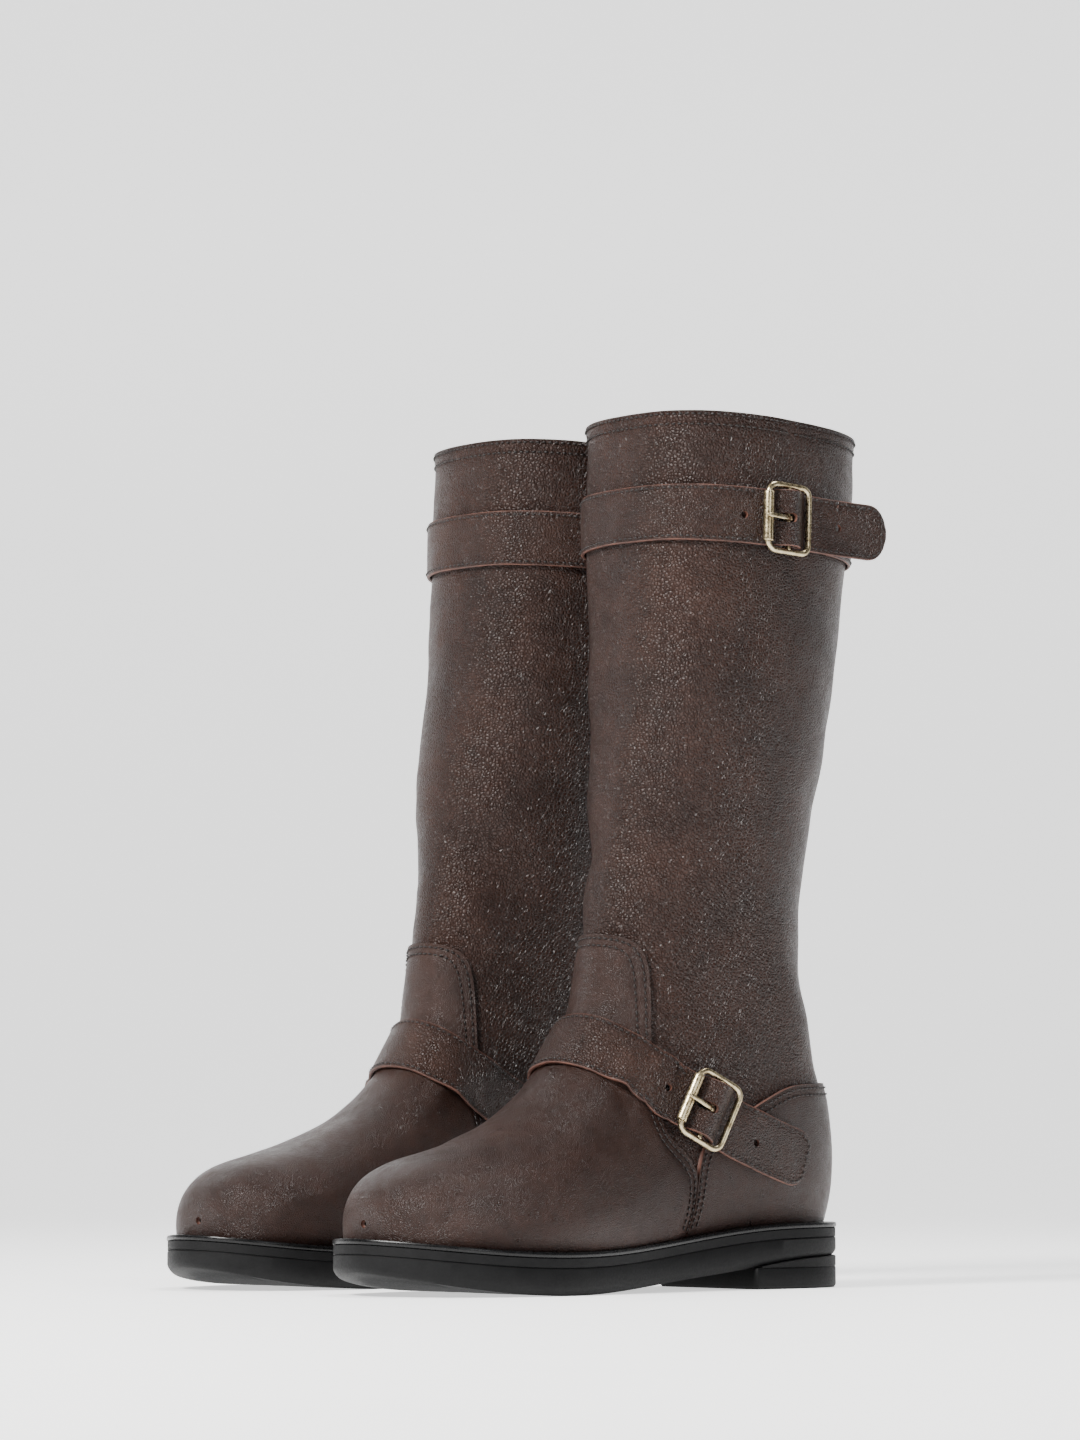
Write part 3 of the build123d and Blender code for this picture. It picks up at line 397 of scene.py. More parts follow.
def clip_grid(phi):
    """Cut a closed grid where phi is negative.

    Returns, for each new vertex, the two grid vertices it lies between and its share, then the faces.
    """
    rows, cols = phi.shape
    value = phi.ravel().copy()
    other = np.arange(rows * cols)
    share = np.zeros(rows * cols)
    index = np.arange(rows * cols).reshape(rows, cols)
    best = np.full(rows * cols, 0.28)
    for shift in ((0, 1), (0, -1), (1, 0), (-1, 0)):
        neighbour = np.roll(index, (-shift[0], -shift[1]), (0, 1))
        if shift[0] == 1:
            neighbour[-1] = index[-1]
        if shift[0] == -1:
            neighbour[0] = index[0]
        neighbour = neighbour.ravel()
        a, b = phi.ravel(), phi.ravel()[neighbour]
        t = np.where(a * b < 0, a / np.where(a == b, 1, a - b), 1.0)
        better = t < best
        best = np.where(better, t, best)
        other = np.where(better, neighbour, other)
        share = np.where(better, t, share)
        value = np.where(better, 0.0, value)
    first = list(range(rows * cols))
    second = other.tolist()
    shares = share.tolist()
    quads = grid_quads(rows, cols)
    corner = value[quads]
    whole = (corner >= 0).all(1) & (corner > 0).any(1)
    faces = quads[whole].tolist()
    cuts = {}
    for quad in quads[~whole & (corner > 0).any(1)].tolist():
        polygon = []
        for a, b in zip(quad, quad[1:] + quad[:1]):
            va, vb = value[a], value[b]
            if va >= 0:
                polygon.append(a)
            if (va > 0 > vb) or (va < 0 < vb):
                key = (min(a, b), max(a, b))
                if key not in cuts:
                    lo, hi = key
                    cuts[key] = len(first)
                    first.append(lo)
                    second.append(hi)
                    shares.append(value[lo] / (value[lo] - value[hi]))
                polygon.append(cuts[key])
        if len(polygon) > 2:
            faces.append(polygon)
    used = sorted({v for face in faces for v in face})
    remap = {v: n for n, v in enumerate(used)}
    faces = [[remap[v] for v in face] for face in faces]
    first, second, shares = (np.array(values)[used] for values in (first, second, shares))
    return first, second, shares, faces


def blend_rows(values, cut):
    first, second, shares, _ = cut
    flat = values.reshape(-1, *values.shape[2:])
    shares = shares if flat.ndim == 1 else shares[:, None]
    return flat[first] * (1 - shares) + flat[second] * shares


def boundary_edges(faces):
    """Directed edges that only one face uses."""
    seen = {}
    for face in faces:
        for a, b in zip(face, face[1:] + face[:1]):
            seen[(a, b)] = True
    return [(a, b) for a, b in seen if (b, a) not in seen]


def leather_piece(upper, phi, outer, inner, groove=()):
    """A closed piece of leather: outer and inner faces and a rounded raw edge all round.

    Returns vertices, faces and the material index of each face (0 leather, 1 raw edge).
    """
    cut = clip_grid(phi)
    faces = cut[3]
    base = blend_rows(upper.base, cut)
    normal = normalised(blend_rows(upper.normal, cut))
    relief = blend_rows(upper.relief, cut)
    if inner < 0:
        covered = blend_rows(upper.under_overlay, cut)
        relief = relief * (1 - covered) + np.minimum(relief, 0.0) * covered
        relief = np.maximum(relief, -0.9)
    height = relief + (blend_rows(outer, cut) if np.ndim(outer) else outer)
    for field, distances in groove:
        away = blend_rows(field, cut)
        for distance in distances:
            height = height - 0.45 * np.exp(-((away - distance) / 1.1) ** 2)
    top = base + normal * height[:, None]
    bottom = base + normal * inner
    count = len(base)
    edges = boundary_edges(faces)
    rim = sorted({v for edge in edges for v in edge})
    place = {v: n for n, v in enumerate(rim)}
    away = np.zeros((count, 3))
    for a, b in edges:
        side = np.cross(top[b] - top[a], normal[a] + normal[b])
        away[a] += side
        away[b] += side
    away = normalised(away[rim])
    thick = np.linalg.norm(top[rim] - bottom[rim], axis=1)[:, None]
    lip = 0.22 * np.minimum(thick, 2.0)
    upper_lip = top[rim] + away * lip * 0.8 - normal[rim] * lip * 0.8
    lower_lip = bottom[rim] + away * lip * 0.8 + normal[rim] * lip * 0.8
    points = np.vstack([top, bottom, upper_lip, lower_lip])
    one, two = 2 * count, 2 * count + len(rim)
    polygons = [list(face) for face in faces] + [[v + count for v in reversed(face)] for face in faces]
    materials = [0] * len(polygons)
    for a, b in edges:
        pa, pb = place[a], place[b]
        polygons.append([b, a, one + pa, one + pb])
        polygons.append([one + pb, one + pa, two + pa, two + pb])
        polygons.append([two + pb, two + pa, count + a, count + b])
        materials += [1, 1, 1]
    return points, polygons, materials


def kept_runs(spots, least):
    """The unbroken runs of kept spots with at least `least` points; a spot is point, normal, kept."""
    runs = []
    for kept, group in itertools.groupby(spots, key=lambda spot: bool(spot[2])):
        run = [(point, normal) for point, normal, _ in group]
        if kept and len(run) >= least:
            runs.append(run)
    return runs


def contour(upper, field, level, keep, height):
    """Lines on the surface where a field has a level, as lists of points with normals."""
    rows, cols = field.shape
    value = (field - level).ravel()
    quads = grid_quads(rows, cols)
    corner = value[quads]
    mixed = quads[(corner > 0).any(1) & (corner <= 0).any(1)]
    links = {}
    for quad in mixed.tolist():
        keys = []
        for a, b in zip(quad, quad[1:] + quad[:1]):
            if (value[a] > 0) != (value[b] > 0):
                keys.append((min(a, b), max(a, b)))
        if len(keys) == 2:
            links.setdefault(keys[0], []).append(keys[1])
            links.setdefault(keys[1], []).append(keys[0])
    surface = upper.raised(0.0).reshape(-1, 3)
    normal = upper.normal.reshape(-1, 3)
    lift = (height if np.ndim(height) else np.full(field.shape, height)).ravel()
    kept = keep.ravel()

    def spot(key):
        a, b = key
        t = value[a] / (value[a] - value[b])
        n = normal[a] * (1 - t) + normal[b] * t
        rise = lift[a] * (1 - t) + lift[b] * t
        return surface[a] * (1 - t) + surface[b] * t + n * rise, n, kept[a] and kept[b]

    lines, seen = [], set()
    ends = [key for key, near in links.items() if len(near) == 1]
    for start in ends + list(links):
        if start in seen:
            continue
        chain, here = [], start
        while here is not None and here not in seen:
            seen.add(here)
            chain.append(spot(here))
            here = next((key for key in links[here] if key not in seen), None)
        lines += kept_runs(chain, 4)
    return lines


# ------------------------------------------------------------------ making objects
def to_world(points, sign):
    """Boot coordinates (s, x, z) in mm to the frame, in metres."""
    points = np.asarray(points, float)
    y = HEEL_Y - points[:, 0] - (RIGHT_STEP if sign < 0 else 0.0)
    return np.stack([sign * (CENTRE_X + points[:, 1]), y, points[:, 2] + FLOOR], 1) * MM


def to_boot(places, sign):
    """Places in the frame, in mm, as boot coordinates (s, x, z)."""
    step = RIGHT_STEP if sign < 0 else 0.0
    return np.stack([HEEL_Y - step - places[..., 1], sign * places[..., 0] - CENTRE_X,
                     places[..., 2] - FLOOR], -1)


def outward_faces(points, faces):
    """The faces turned so that a closed mesh faces outward."""
    volume = 0.0
    for face in faces:
        a = points[face[0]]
        for b, c in zip(face[1:-1], face[2:]):
            volume += np.dot(a, np.cross(points[b], points[c]))
    return faces if volume > 0 else [list(reversed(face)) for face in faces]


def make_object(name, points, faces, materials, sign, body=ROOT, face_materials=None,
                replaces=(), smooth=True):
    """A mesh object in the frame, facing outward on both boots."""
    mesh = bpy.data.meshes.new(name)
    world = to_world(points, sign)
    mesh.from_pydata(world.tolist(), [], outward_faces(world - world.mean(0), faces))
    for material in materials:
        mesh.materials.append(material)
    if face_materials is not None:
        mesh.polygons.foreach_set("material_index", face_materials)
    mesh.polygons.foreach_set("use_smooth", [smooth] * len(mesh.polygons))
    mesh.validate()
    thing = bpy.data.objects.new(name, mesh)
    bpy.context.scene.collection.objects.link(thing)
    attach(thing, body)
    if replaces:
        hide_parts(*replaces)
    return thing


def stitch_row(lines, pitch=STITCH_PITCH, length=STITCH_LENGTH, radius=STITCH_RADIUS, sink=0.1):
    """Threads of a seam: a short arched bead for each stitch along each line."""
    rings, around = 5, 6
    angle = np.linspace(0, 2 * np.pi, around, endpoint=False)
    bead = grid_quads(rings, around).tolist() + end_caps(rings, around)
    points, faces = [], []
    for line in lines:
        spots = np.array([point for point, _ in line])
        normals = np.array([n for _, n in line])
        run = np.r_[0, np.cumsum(np.linalg.norm(np.diff(spots, axis=0), axis=1))]
        count = int(run[-1] / pitch)
        if count < 1:
            continue
        at = (np.arange(count) + 0.5) * run[-1] / count

        def read(values, where):
            return np.stack([np.interp(where, run, values[:, k]) for k in range(3)], 1)

        middle = read(spots, at)
        along = normalised(read(spots, at + 0.8) - read(spots, at - 0.8))
        up = read(normals, at)
        up = normalised(up - along * (up * along).sum(1, keepdims=True))
        across = np.cross(along, up)
        for c, a, u, w in zip(middle, along, up, across):
            first = len(points)
            for ring in range(rings):
                t = ring / (rings - 1) * 2 - 1
                size = radius * math.sqrt(max(1 - (abs(t) * 0.93) ** 2.5, 0.02))
                centre = c + a * (t * length / 2) + u * (radius * (0.75 - 1.3 * t * t) - sink)
                for turn in angle:
                    points.append(centre + (w * math.cos(turn) + u * math.sin(turn)) * size)
            faces += [[v + first for v in face] for face in bead]
    return np.array(points), faces


# ------------------------------------------------------------------ straps
class Over:
    """Rays against the leather, to lay straps on it."""

    def __init__(self, upper, height):
        self.tree = upper.tree(height)

    def hit(self, origin, direction):
        place, normal, _, _ = self.tree.ray_cast(Vector(origin), Vector(direction))
        if place is None:
            return None
        normal = np.array(normal)
        if normal @ np.asarray(direction) > 0:
            normal = -normal
        return np.array(place), normal


def outermost(over, centre, direction, reach=220.0):
    """The outermost leather along a ray, looked for from outside."""
    direction = normalised(np.asarray(direction, float))
    return over.hit(np.asarray(centre, float) + direction * reach, -direction)


def ribbon(points, normals, width, thickness, taper=None, arch=0.0):
    """A flat band of rounded section swept along points. Returns vertices, faces, materials and the centre
    line (points, normals, across).

    `taper` gives each station's share of the full width; the ends are closed.
    """
    points = np.asarray(points, float)
    along = normalised(np.gradient(points, axis=0))
    normals = normalised(normals - along * (normals * along).sum(1, keepdims=True))
    across = np.cross(normals, along)
    half, thick = width / 2, thickness / 2
    lip = min(0.45, thick * 0.6)
    lanes = np.r_[-1, np.linspace(-1, 1, 13)[1:-1], 1]
    profile = [(u * (half - lip), thick, 0) for u in lanes]
    profile += [(half - 0.12, thick - lip * 0.35, 1), (half, thick - lip * 1.1, 1), (half, -thick + lip, 1)]
    profile += [(half - lip, -thick, 1)]
    profile += [(u * (half - lip), -thick, 0) for u in lanes[::-1][1:]]
    profile += [(-half, -thick + lip, 1), (-half, thick - lip * 1.1, 1)]
    profile += [(-half + 0.12, thick - lip * 0.35, 1)]
    offsets = np.array([(u, v) for u, v, _ in profile])
    edge = [m for _, _, m in profile]
    share = np.ones(len(points)) if taper is None else np.asarray(taper)
    bulge = arch * (1 - (offsets[:, 0] / half) ** 2)
    rings = (points[:, None] + across[:, None] * (offsets[None, :, :1] * share[:, None, None])
             + normals[:, None] * (offsets[None, :, 1:] + bulge[None, :, None]))
    count = len(profile)
    faces, materials = [], []
    for i in range(len(points) - 1):
        for j in range(count):
            k = (j + 1) % count
            faces.append([i * count + j, (i + 1) * count + j, (i + 1) * count + k, i * count + k])
            materials.append(1 if (edge[j] and edge[k]) or (edge[j] != edge[k]) else 0)
    faces.append(list(range(count)))
    faces.append([(len(points) - 1) * count + j for j in reversed(range(count))])
    materials += [1, 1]
    return rings.reshape(-1, 3), faces, materials, (points, normals, across)


def rounded_end(count, reach, step):
    """Width shares for the rounded tip of a strap, outermost last."""
    at = np.arange(count)[::-1] * step
    inside = np.clip((reach - at) / reach, 0, 1)
    return np.sqrt(np.clip(1 - inside ** 2.4, 0.03, 1))


# ------------------------------------------------------------------ buckles
def buckle_place(side, name, sign):
    """The buckle's bar, roller and axes in boot coordinates, read from its joints."""
    rock, spin = JOINTS[f"{side}_{name}_buckle_rock"], JOINTS[f"{side}_{name}_buckle_roller_spin"]
    bar, roller = (to_boot(np.array(joint["pos_m"]) / MM, sign) for joint in (rock, spin))
    tipwards = normalised(bar - roller)
    axis = np.array(rock["axis"], float)
    step_axis = normalised(np.array([-axis[1], sign * axis[0], axis[2]]))
    out = normalised(np.cross(tipwards, step_axis))
    if out[1] < 0:
        out, step_axis = -out, -step_axis
    return bar, tipwards, step_axis, out


def tube(path, radius, around=16, closed=False):
    """A round wire along a path with smooth turning frames; radius may vary."""
    path = np.asarray(path, float)
    count = len(path)
    radius = np.broadcast_to(radius, count)
    along = (np.roll(path, -1, 0) - np.roll(path, 1, 0)) if closed else np.gradient(path, axis=0)
    along = normalised(along)
    first = np.cross(along[0], [0.3, 0.5, 0.81])
    frame_u = [normalised(first)]
    for k in range(1, count):
        u = frame_u[-1] - along[k] * (frame_u[-1] @ along[k])
        frame_u.append(normalised(u))
    u = np.array(frame_u)
    w = np.cross(along, u)
    turn = np.linspace(0, 2 * np.pi, around, endpoint=False)
    rings = (path[:, None] + (u[:, None] * np.cos(turn)[None, :, None]
             + w[:, None] * np.sin(turn)[None, :, None]) * radius[:, None, None])
    faces = grid_quads(count, around, closed).tolist()
    return rings.reshape(-1, 3), faces if closed else faces + end_caps(count, around)


def joined(parts):
    """Several meshes as one list of vertices and faces."""
    points, faces, first = [], [], 0
    for part_points, part_faces in parts:
        points.append(part_points)
        faces += [[v + first for v in face] for face in part_faces]
        first += len(part_points)
    return np.vstack(points), faces


def wire_outline():
    """The centre line of the buckle's wire, in the buckle's plane."""
    line = []
    corners = ((WIRE_X, WIRE_Y, 0), (-WIRE_X, WIRE_Y, 90), (-WIRE_X, -WIRE_Y, 180), (WIRE_X, -WIRE_Y, 270))
    for x, y, start in corners:
        cx = x - math.copysign(BUCKLE_CORNER, x)
        cy = y - math.copysign(BUCKLE_CORNER, y)
        for k in range(9):
            turn = math.radians(start + 90 * k / 8)
            line.append((cx + BUCKLE_CORNER * math.cos(turn), cy + BUCKLE_CORNER * math.sin(turn)))
    line = np.array(line + line[:1])
    return even_line(line, 1.2)[:-1]


# ------------------------------------------------------------------ soles
def sole_slab(lower, upper_line, rows, flat_front=None):
    """A slab bounded by the sole's outline, cut straight at `flat_front` if that is given.

    Each profile row is a share of the height and an outward shift. Returns faces and rings.
    """
    loop = smooth_line(SOLE_OUTLINE, 0.8, closed=True)[:-1]
    if flat_front is not None:
        behind = loop[:, 0] <= flat_front
        start = int(np.argmax(~behind & np.roll(behind, 1)))
        ordered = np.roll(loop, -start, axis=0)
        kept = ordered[ordered[:, 0] <= flat_front]
        a, b = kept[-1], kept[0]
        cross = np.linspace(0, 1, 24)[1:-1, None]
        ends = np.array([[flat_front, a[1]], [flat_front, b[1]]])
        loop = np.vstack([kept, ends[:1] * (1 - cross) + ends[1:] * cross])
    loop = even_line(np.vstack([loop, loop[:1]]), 1.6)[:-1]
    along = normalised(np.roll(loop, -1, 0) - np.roll(loop, 1, 0))
    outward = np.stack([along[:, 1], -along[:, 0]], 1)
    centre = loop.mean(0)
    if ((loop - centre) * outward).sum() < 0:
        outward = -outward
    low, high = lower(loop[:, 0]), upper_line(loop[:, 0])
    rings = []
    for share, shift in rows:
        flat = loop + outward * shift
        rings.append(np.stack([flat[:, 0], flat[:, 1], low + (high - low) * share], 1))
    return grid_quads(len(rings), len(loop)).tolist(), rings


def cap_rings(faces, rings, lower, upper_line, steps=7):
    """Close both ends with shrinking rings and a fan, following the sole's curve."""
    count = len(rings[0])
    total = len(rings) * count
    out_points, out_faces = list(rings), list(faces)
    for ring, start, height, flip in ((rings[0], 0, lower, False),
                                      (rings[-1], (len(rings) - 1) * count, upper_line, True)):
        previous = list(range(start, start + count))
        centre = np.array([ring[:, 0].mean(), ring[:, 1].mean()])
        span = ring[:, :2] - centre
        for k in range(1, steps):
            flat = centre + span * (1 - k / steps)
            level = height(flat[:, 0])
            out_points.append(np.stack([flat[:, 0], flat[:, 1], level], 1))
            here = list(range(total, total + count))
            total += count
            for j in range(count):
                n = (j + 1) % count
                face = [previous[n], previous[j], here[j], here[n]]
                out_faces.append(list(reversed(face)) if flip else face)
            previous = here
        out_points.append(np.array([[centre[0], centre[1], float(height(np.array([centre[0]]))[0])]]))
        for j in range(count):
            n = (j + 1) % count
            face = [previous[n], previous[j], total]
            out_faces.append(list(reversed(face)) if flip else face)
        total += 1
    return np.vstack(out_points), out_faces


# ------------------------------------------------------------------ materials
def nodes_of(name):
    material = bpy.data.materials.new(name)
    material.use_nodes = True
    tree = material.node_tree
    shader = next(node for node in tree.nodes if node.type == "BSDF_PRINCIPLED")
    return material, tree, shader


def add(tree, kind, **values):
    node = tree.nodes.new(kind)
    for key, value in values.items():
        if hasattr(node, key):
            setattr(node, key, value)
        else:
            node.inputs[key.replace("_", " ")].default_value = value
    return node


def link(tree, source, output, target, socket):
    tree.links.new(source.outputs[output], target.inputs[socket])


def noise(tree, place, **values):
    """A noise texture read in object coordinates."""
    node = add(tree, "ShaderNodeTexNoise", **values)
    link(tree, place, "Object", node, "Vector")
    return node


def bump(tree, shader, source, output, strength, distance):
    """Raise the shader's surface by one output."""
    node = add(tree, "ShaderNodeBump", Strength=strength, Distance=distance)
    link(tree, source, output, node, "Height")
    link(tree, node, "Normal", shader, "Normal")


def ramp(tree, source, output, stops):
    """A colour ramp read from one output."""
    node = tree.nodes.new("ShaderNodeValToRGB")
    elements = node.color_ramp.elements
    while len(elements) < len(stops):
        elements.new(0.5)
    for element, (place, colour) in zip(elements, stops):
        element.position = place
        element.color = colour if len(colour) == 4 else (*colour, 1.0)
    link(tree, source, output, node, "Fac")
    return node


def grey(value):
    return (value, value, value)


def mixed(tree, factor, one, two, blend="MIX"):
    """Mix two colours by a factor; each may be a socket or a plain colour."""
    node = tree.nodes.new("ShaderNodeMix")
    node.data_type = "RGBA"
    node.blend_type = blend
    for socket, value in ((node.inputs[0], factor), (node.inputs[6], one), (node.inputs[7], two)):
        if isinstance(value, bpy.types.NodeSocket):
            tree.links.new(value, socket)
        elif isinstance(value, (int, float)):
            socket.default_value = value
        else:
            socket.default_value = (*value, 1.0)
    return node.outputs[2]


def leather(name, deep, mid, light, grain=900.0, grain_depth=0.5, sheen=0.36, cloud=26.0, shine=0.4,
            wrinkle=0.25):
    """Pebbled leather: cells, pores, pull-up colour clouds, painted shade between cells and a satin finish.
    """
    material, tree, shader = nodes_of(name)
    place = add(tree, "ShaderNodeTexCoord")
    warp = noise(tree, place, Scale=grain * 0.35, Detail=3.0)
    shift = add(tree, "ShaderNodeVectorMath", operation="SCALE")
    link(tree, warp, "Color", shift, 0)
    shift.inputs["Scale"].default_value = 0.0011
    moved = add(tree, "ShaderNodeVectorMath", operation="ADD")
    link(tree, place, "Object", moved, 0)
    link(tree, shift, 0, moved, 1)
    cells = add(tree, "ShaderNodeTexVoronoi", feature="DISTANCE_TO_EDGE", Scale=grain)
    link(tree, moved, 0, cells, "Vector")
    cell_height = ramp(tree, cells, "Distance", ((0.0, grey(0.0)), (0.16, grey(0.72)), (0.5, grey(1.0))))
    fine = noise(tree, place, Scale=grain * 2.6, Detail=3.0)
    wide = noise(tree, place, Scale=cloud, Detail=5.0, Roughness=0.6)
    streak = noise(tree, place, Scale=cloud * 5.5, Detail=4.0, Roughness=0.62)
    tone = ramp(tree, wide, "Fac", ((0.30, deep), (0.5, mid), (0.72, light)))
    mottled = ramp(tree, streak, "Fac", ((0.32, grey(0.80)), (0.68, grey(1.16))))
    colour = mixed(tree, 1.0, tone.outputs["Color"], mottled.outputs["Color"], "MULTIPLY")
    # painted shade: the colour darkens in the grooves between the grain cells
    painted_groove_shade = ramp(tree, cells, "Distance", ((0.0, grey(0.62)), (0.14, grey(1.0))))
    colour = mixed(tree, 0.75, colour, painted_groove_shade.outputs["Color"], "MULTIPLY")
    tree.links.new(colour, shader.inputs["Base Color"])
    rough = ramp(tree, streak, "Fac", ((0.3, grey(sheen - 0.07)), (0.7, grey(sheen + 0.10))))
    tree.links.new(rough.outputs["Color"], shader.inputs["Roughness"])
    shader.inputs["Specular IOR Level"].default_value = shine
    total = add(tree, "ShaderNodeMath", operation="MULTIPLY_ADD")
    link(tree, fine, "Fac", total, 0)
    total.inputs[1].default_value = 0.22
    link(tree, cell_height, "Color", total, 2)
    crease = noise(tree, place, Scale=cloud * 7, Detail=6.0, Roughness=0.68)
    again = add(tree, "ShaderNodeMath", operation="MULTIPLY_ADD")
    link(tree, crease, "Fac", again, 0)
    again.inputs[1].default_value = wrinkle * 3.0
    link(tree, total, 0, again, 2)
    bump(tree, shader, again, 0, grain_depth, 0.00055)
    return material


def edge_leather(name, base, dark):
    """The raw cut edge: short fibres running through the thickness."""
    material, tree, shader = nodes_of(name)
    place = add(tree, "ShaderNodeTexCoord")
    fibres = noise(tree, place, Scale=1500.0, Detail=4.0, Roughness=0.7)
    patches = noise(tree, place, Scale=130.0, Detail=3.0)
    tone = ramp(tree, patches, "Fac", ((0.35, dark), (0.6, base)))
    speck = ramp(tree, fibres, "Fac", ((0.3, grey(0.72)), (0.7, grey(1.2))))
    colour = mixed(tree, 1.0, tone.outputs["Color"], speck.outputs["Color"], "MULTIPLY")
    tree.links.new(colour, shader.inputs["Base Color"])
    shader.inputs["Roughness"].default_value = 0.62
    bump(tree, shader, fibres, "Fac", 0.5, 0.0002)
    return material


def plain(name, colours, scale, rough, metallic=0.0, depth=0.2, distance=0.0002, detail=4.0, specular=0.5,
          fine=6.0, spread=0.08):
    """A general material: colour patches, roughness variation and a fine bump."""
    material, tree, shader = nodes_of(name)
    place = add(tree, "ShaderNodeTexCoord")
    patches = noise(tree, place, Scale=scale, Detail=detail, Roughness=0.62)
    small = noise(tree, place, Scale=scale * fine, Detail=3.0)
    stops = tuple((0.28 + 0.44 * k / (len(colours) - 1), colour) for k, colour in enumerate(colours))
    tone = ramp(tree, patches, "Fac", stops)
    tree.links.new(tone.outputs["Color"], shader.inputs["Base Color"])
    roughness = ramp(tree, small, "Fac", ((0.3, grey(rough - spread)), (0.7, grey(rough + spread))))
    tree.links.new(roughness.outputs["Color"], shader.inputs["Roughness"])
    shader.inputs["Metallic"].default_value = metallic
    shader.inputs["Specular IOR Level"].default_value = specular
    bump(tree, shader, small, "Fac", depth, distance)
    return material


def woven(name, one, two, scale=1100.0):
    """A twill lining: two crossing waves with fibre noise."""
    material, tree, shader = nodes_of(name)
    place = add(tree, "ShaderNodeTexCoord")
    heights = []
    for axis in ("X", "Z"):
        wave = add(tree, "ShaderNodeTexWave", bands_direction=axis, Scale=scale * 0.16, Distortion=1.5,
                   Detail=1.0)
        link(tree, place, "Object", wave, "Vector")
        heights.append(wave)
    weave = add(tree, "ShaderNodeMath", operation="MULTIPLY")
    link(tree, heights[0], "Fac", weave, 0)
    link(tree, heights[1], "Fac", weave, 1)
    cloud = noise(tree, place, Scale=40.0, Detail=4.0)
    tone = ramp(tree, cloud, "Fac", ((0.35, one), (0.65, two)))
    thread = ramp(tree, weave, 0, ((0.1, grey(0.8)), (0.6, grey(1.1))))
    colour = mixed(tree, 1.0, tone.outputs["Color"], thread.outputs["Color"], "MULTIPLY")
    tree.links.new(colour, shader.inputs["Base Color"])
    shader.inputs["Roughness"].default_value = 0.85
    bump(tree, shader, weave, 0, 0.35, 0.0003)
    return material


SHAFT_LEATHER = leather("shaft_leather", (0.0150, 0.0056, 0.0034), (0.0225, 0.0088, 0.0055),
                        (0.0320, 0.0134, 0.0088), grain=640.0, grain_depth=1.0, sheen=0.36, shine=0.30)
VAMP_LEATHER = leather("vamp_leather", (0.0150, 0.0056, 0.0034), (0.0215, 0.0084, 0.0053),
                       (0.0305, 0.0127, 0.0083), grain=1150.0, grain_depth=0.5, sheen=0.34, shine=0.27)
STRAP_LEATHER = leather("strap_leather", (0.0165, 0.0062, 0.0038), (0.0245, 0.0098, 0.0062),
                        (0.0350, 0.0150, 0.0098), grain=760.0, grain_depth=0.9, sheen=0.34, shine=0.30)
RAW_EDGE = edge_leather("raw_edge", (0.105, 0.040, 0.026), (0.050, 0.018, 0.0115))
THREAD = plain("waxed_thread", ((0.0035, 0.0016, 0.0011), (0.008, 0.0036, 0.0025)), 420.0, 0.45, depth=0.5)
LINING = leather("lining_leather", (0.20, 0.125, 0.075), (0.29, 0.19, 0.12), (0.37, 0.255, 0.17),
                 grain=1500.0, grain_depth=0.25, sheen=0.55, cloud=18.0)
RUBBER = plain("black_rubber", ((0.0022, 0.0022, 0.0024), (0.0050, 0.0050, 0.0053)), 120.0, 0.6, depth=0.3,
               fine=9.0, specular=0.18)
WELT_RUBBER = plain("black_welt", ((0.0018, 0.0018, 0.0020), (0.0035, 0.0035, 0.0038)), 90.0, 0.3, depth=0.1,
                    specular=0.28)
BRASS = plain("antique_brass", ((0.16, 0.115, 0.058), (0.47, 0.385, 0.235), (0.66, 0.575, 0.40)), 260.0,
              0.30, metallic=1.0, depth=0.22, detail=6.0, fine=4.0, spread=0.10)
STEEL = plain("bright_steel", ((0.42, 0.42, 0.44), (0.6, 0.6, 0.62)), 300.0, 0.3, metallic=1.0)
CORK = plain("cork", ((0.22, 0.12, 0.06), (0.42, 0.27, 0.15)), 320.0, 0.85, depth=0.8, distance=0.0006)
BOARD = plain("fibre_board", ((0.20, 0.15, 0.10), (0.30, 0.235, 0.17)), 200.0, 0.8, depth=0.4)
SOCK = woven("sock_cloth", (0.055, 0.045, 0.040), (0.085, 0.072, 0.062))

CARRIED = {
    "toe_puff": BOARD, "vamp_interlining": LINING, "shaft_lining": LINING, "vamp_lining": LINING,
    "heel_stiffener": BOARD, "heel_lining": LINING, "top_facing": LINING, "insole_board": BOARD,
    "sock_liner": SOCK, "heel_nails": STEEL, "shank": STEEL, "cork_filler": CORK,
}


# ------------------------------------------------------------------ where the straps run
TOP_AXIS = (52.0, -8.0, 362.5)
TOP_TILT = 0.045
ANKLE_MIDDLE = (102.4, 0.0, 83.5)
ANKLE_SLOPE = 0.517
INSTEP_SLOPE = 0.69
TAIL_CURVE = 0.0022
HUMP = 9.7


def top_ray(angle):
    turn = math.radians(angle)
    return TOP_AXIS, (math.sin(turn), math.cos(turn), math.sin(turn) * TOP_TILT)


def heel_ray(s, way):
    away = ANKLE_MIDDLE[0] - s
    return (s, 0.0, ANKLE_MIDDLE[2] - ANKLE_SLOPE * away + TAIL_CURVE * away ** 2), (0.0, way, 0.0)


def ankle_ray(angle):
    side, forward = math.cos(math.radians(angle)), math.sin(math.radians(angle))
    slope = ANKLE_SLOPE + (INSTEP_SLOPE - ANKLE_SLOPE) * forward ** 2
    return ANKLE_MIDDLE, (forward, side, forward * slope)


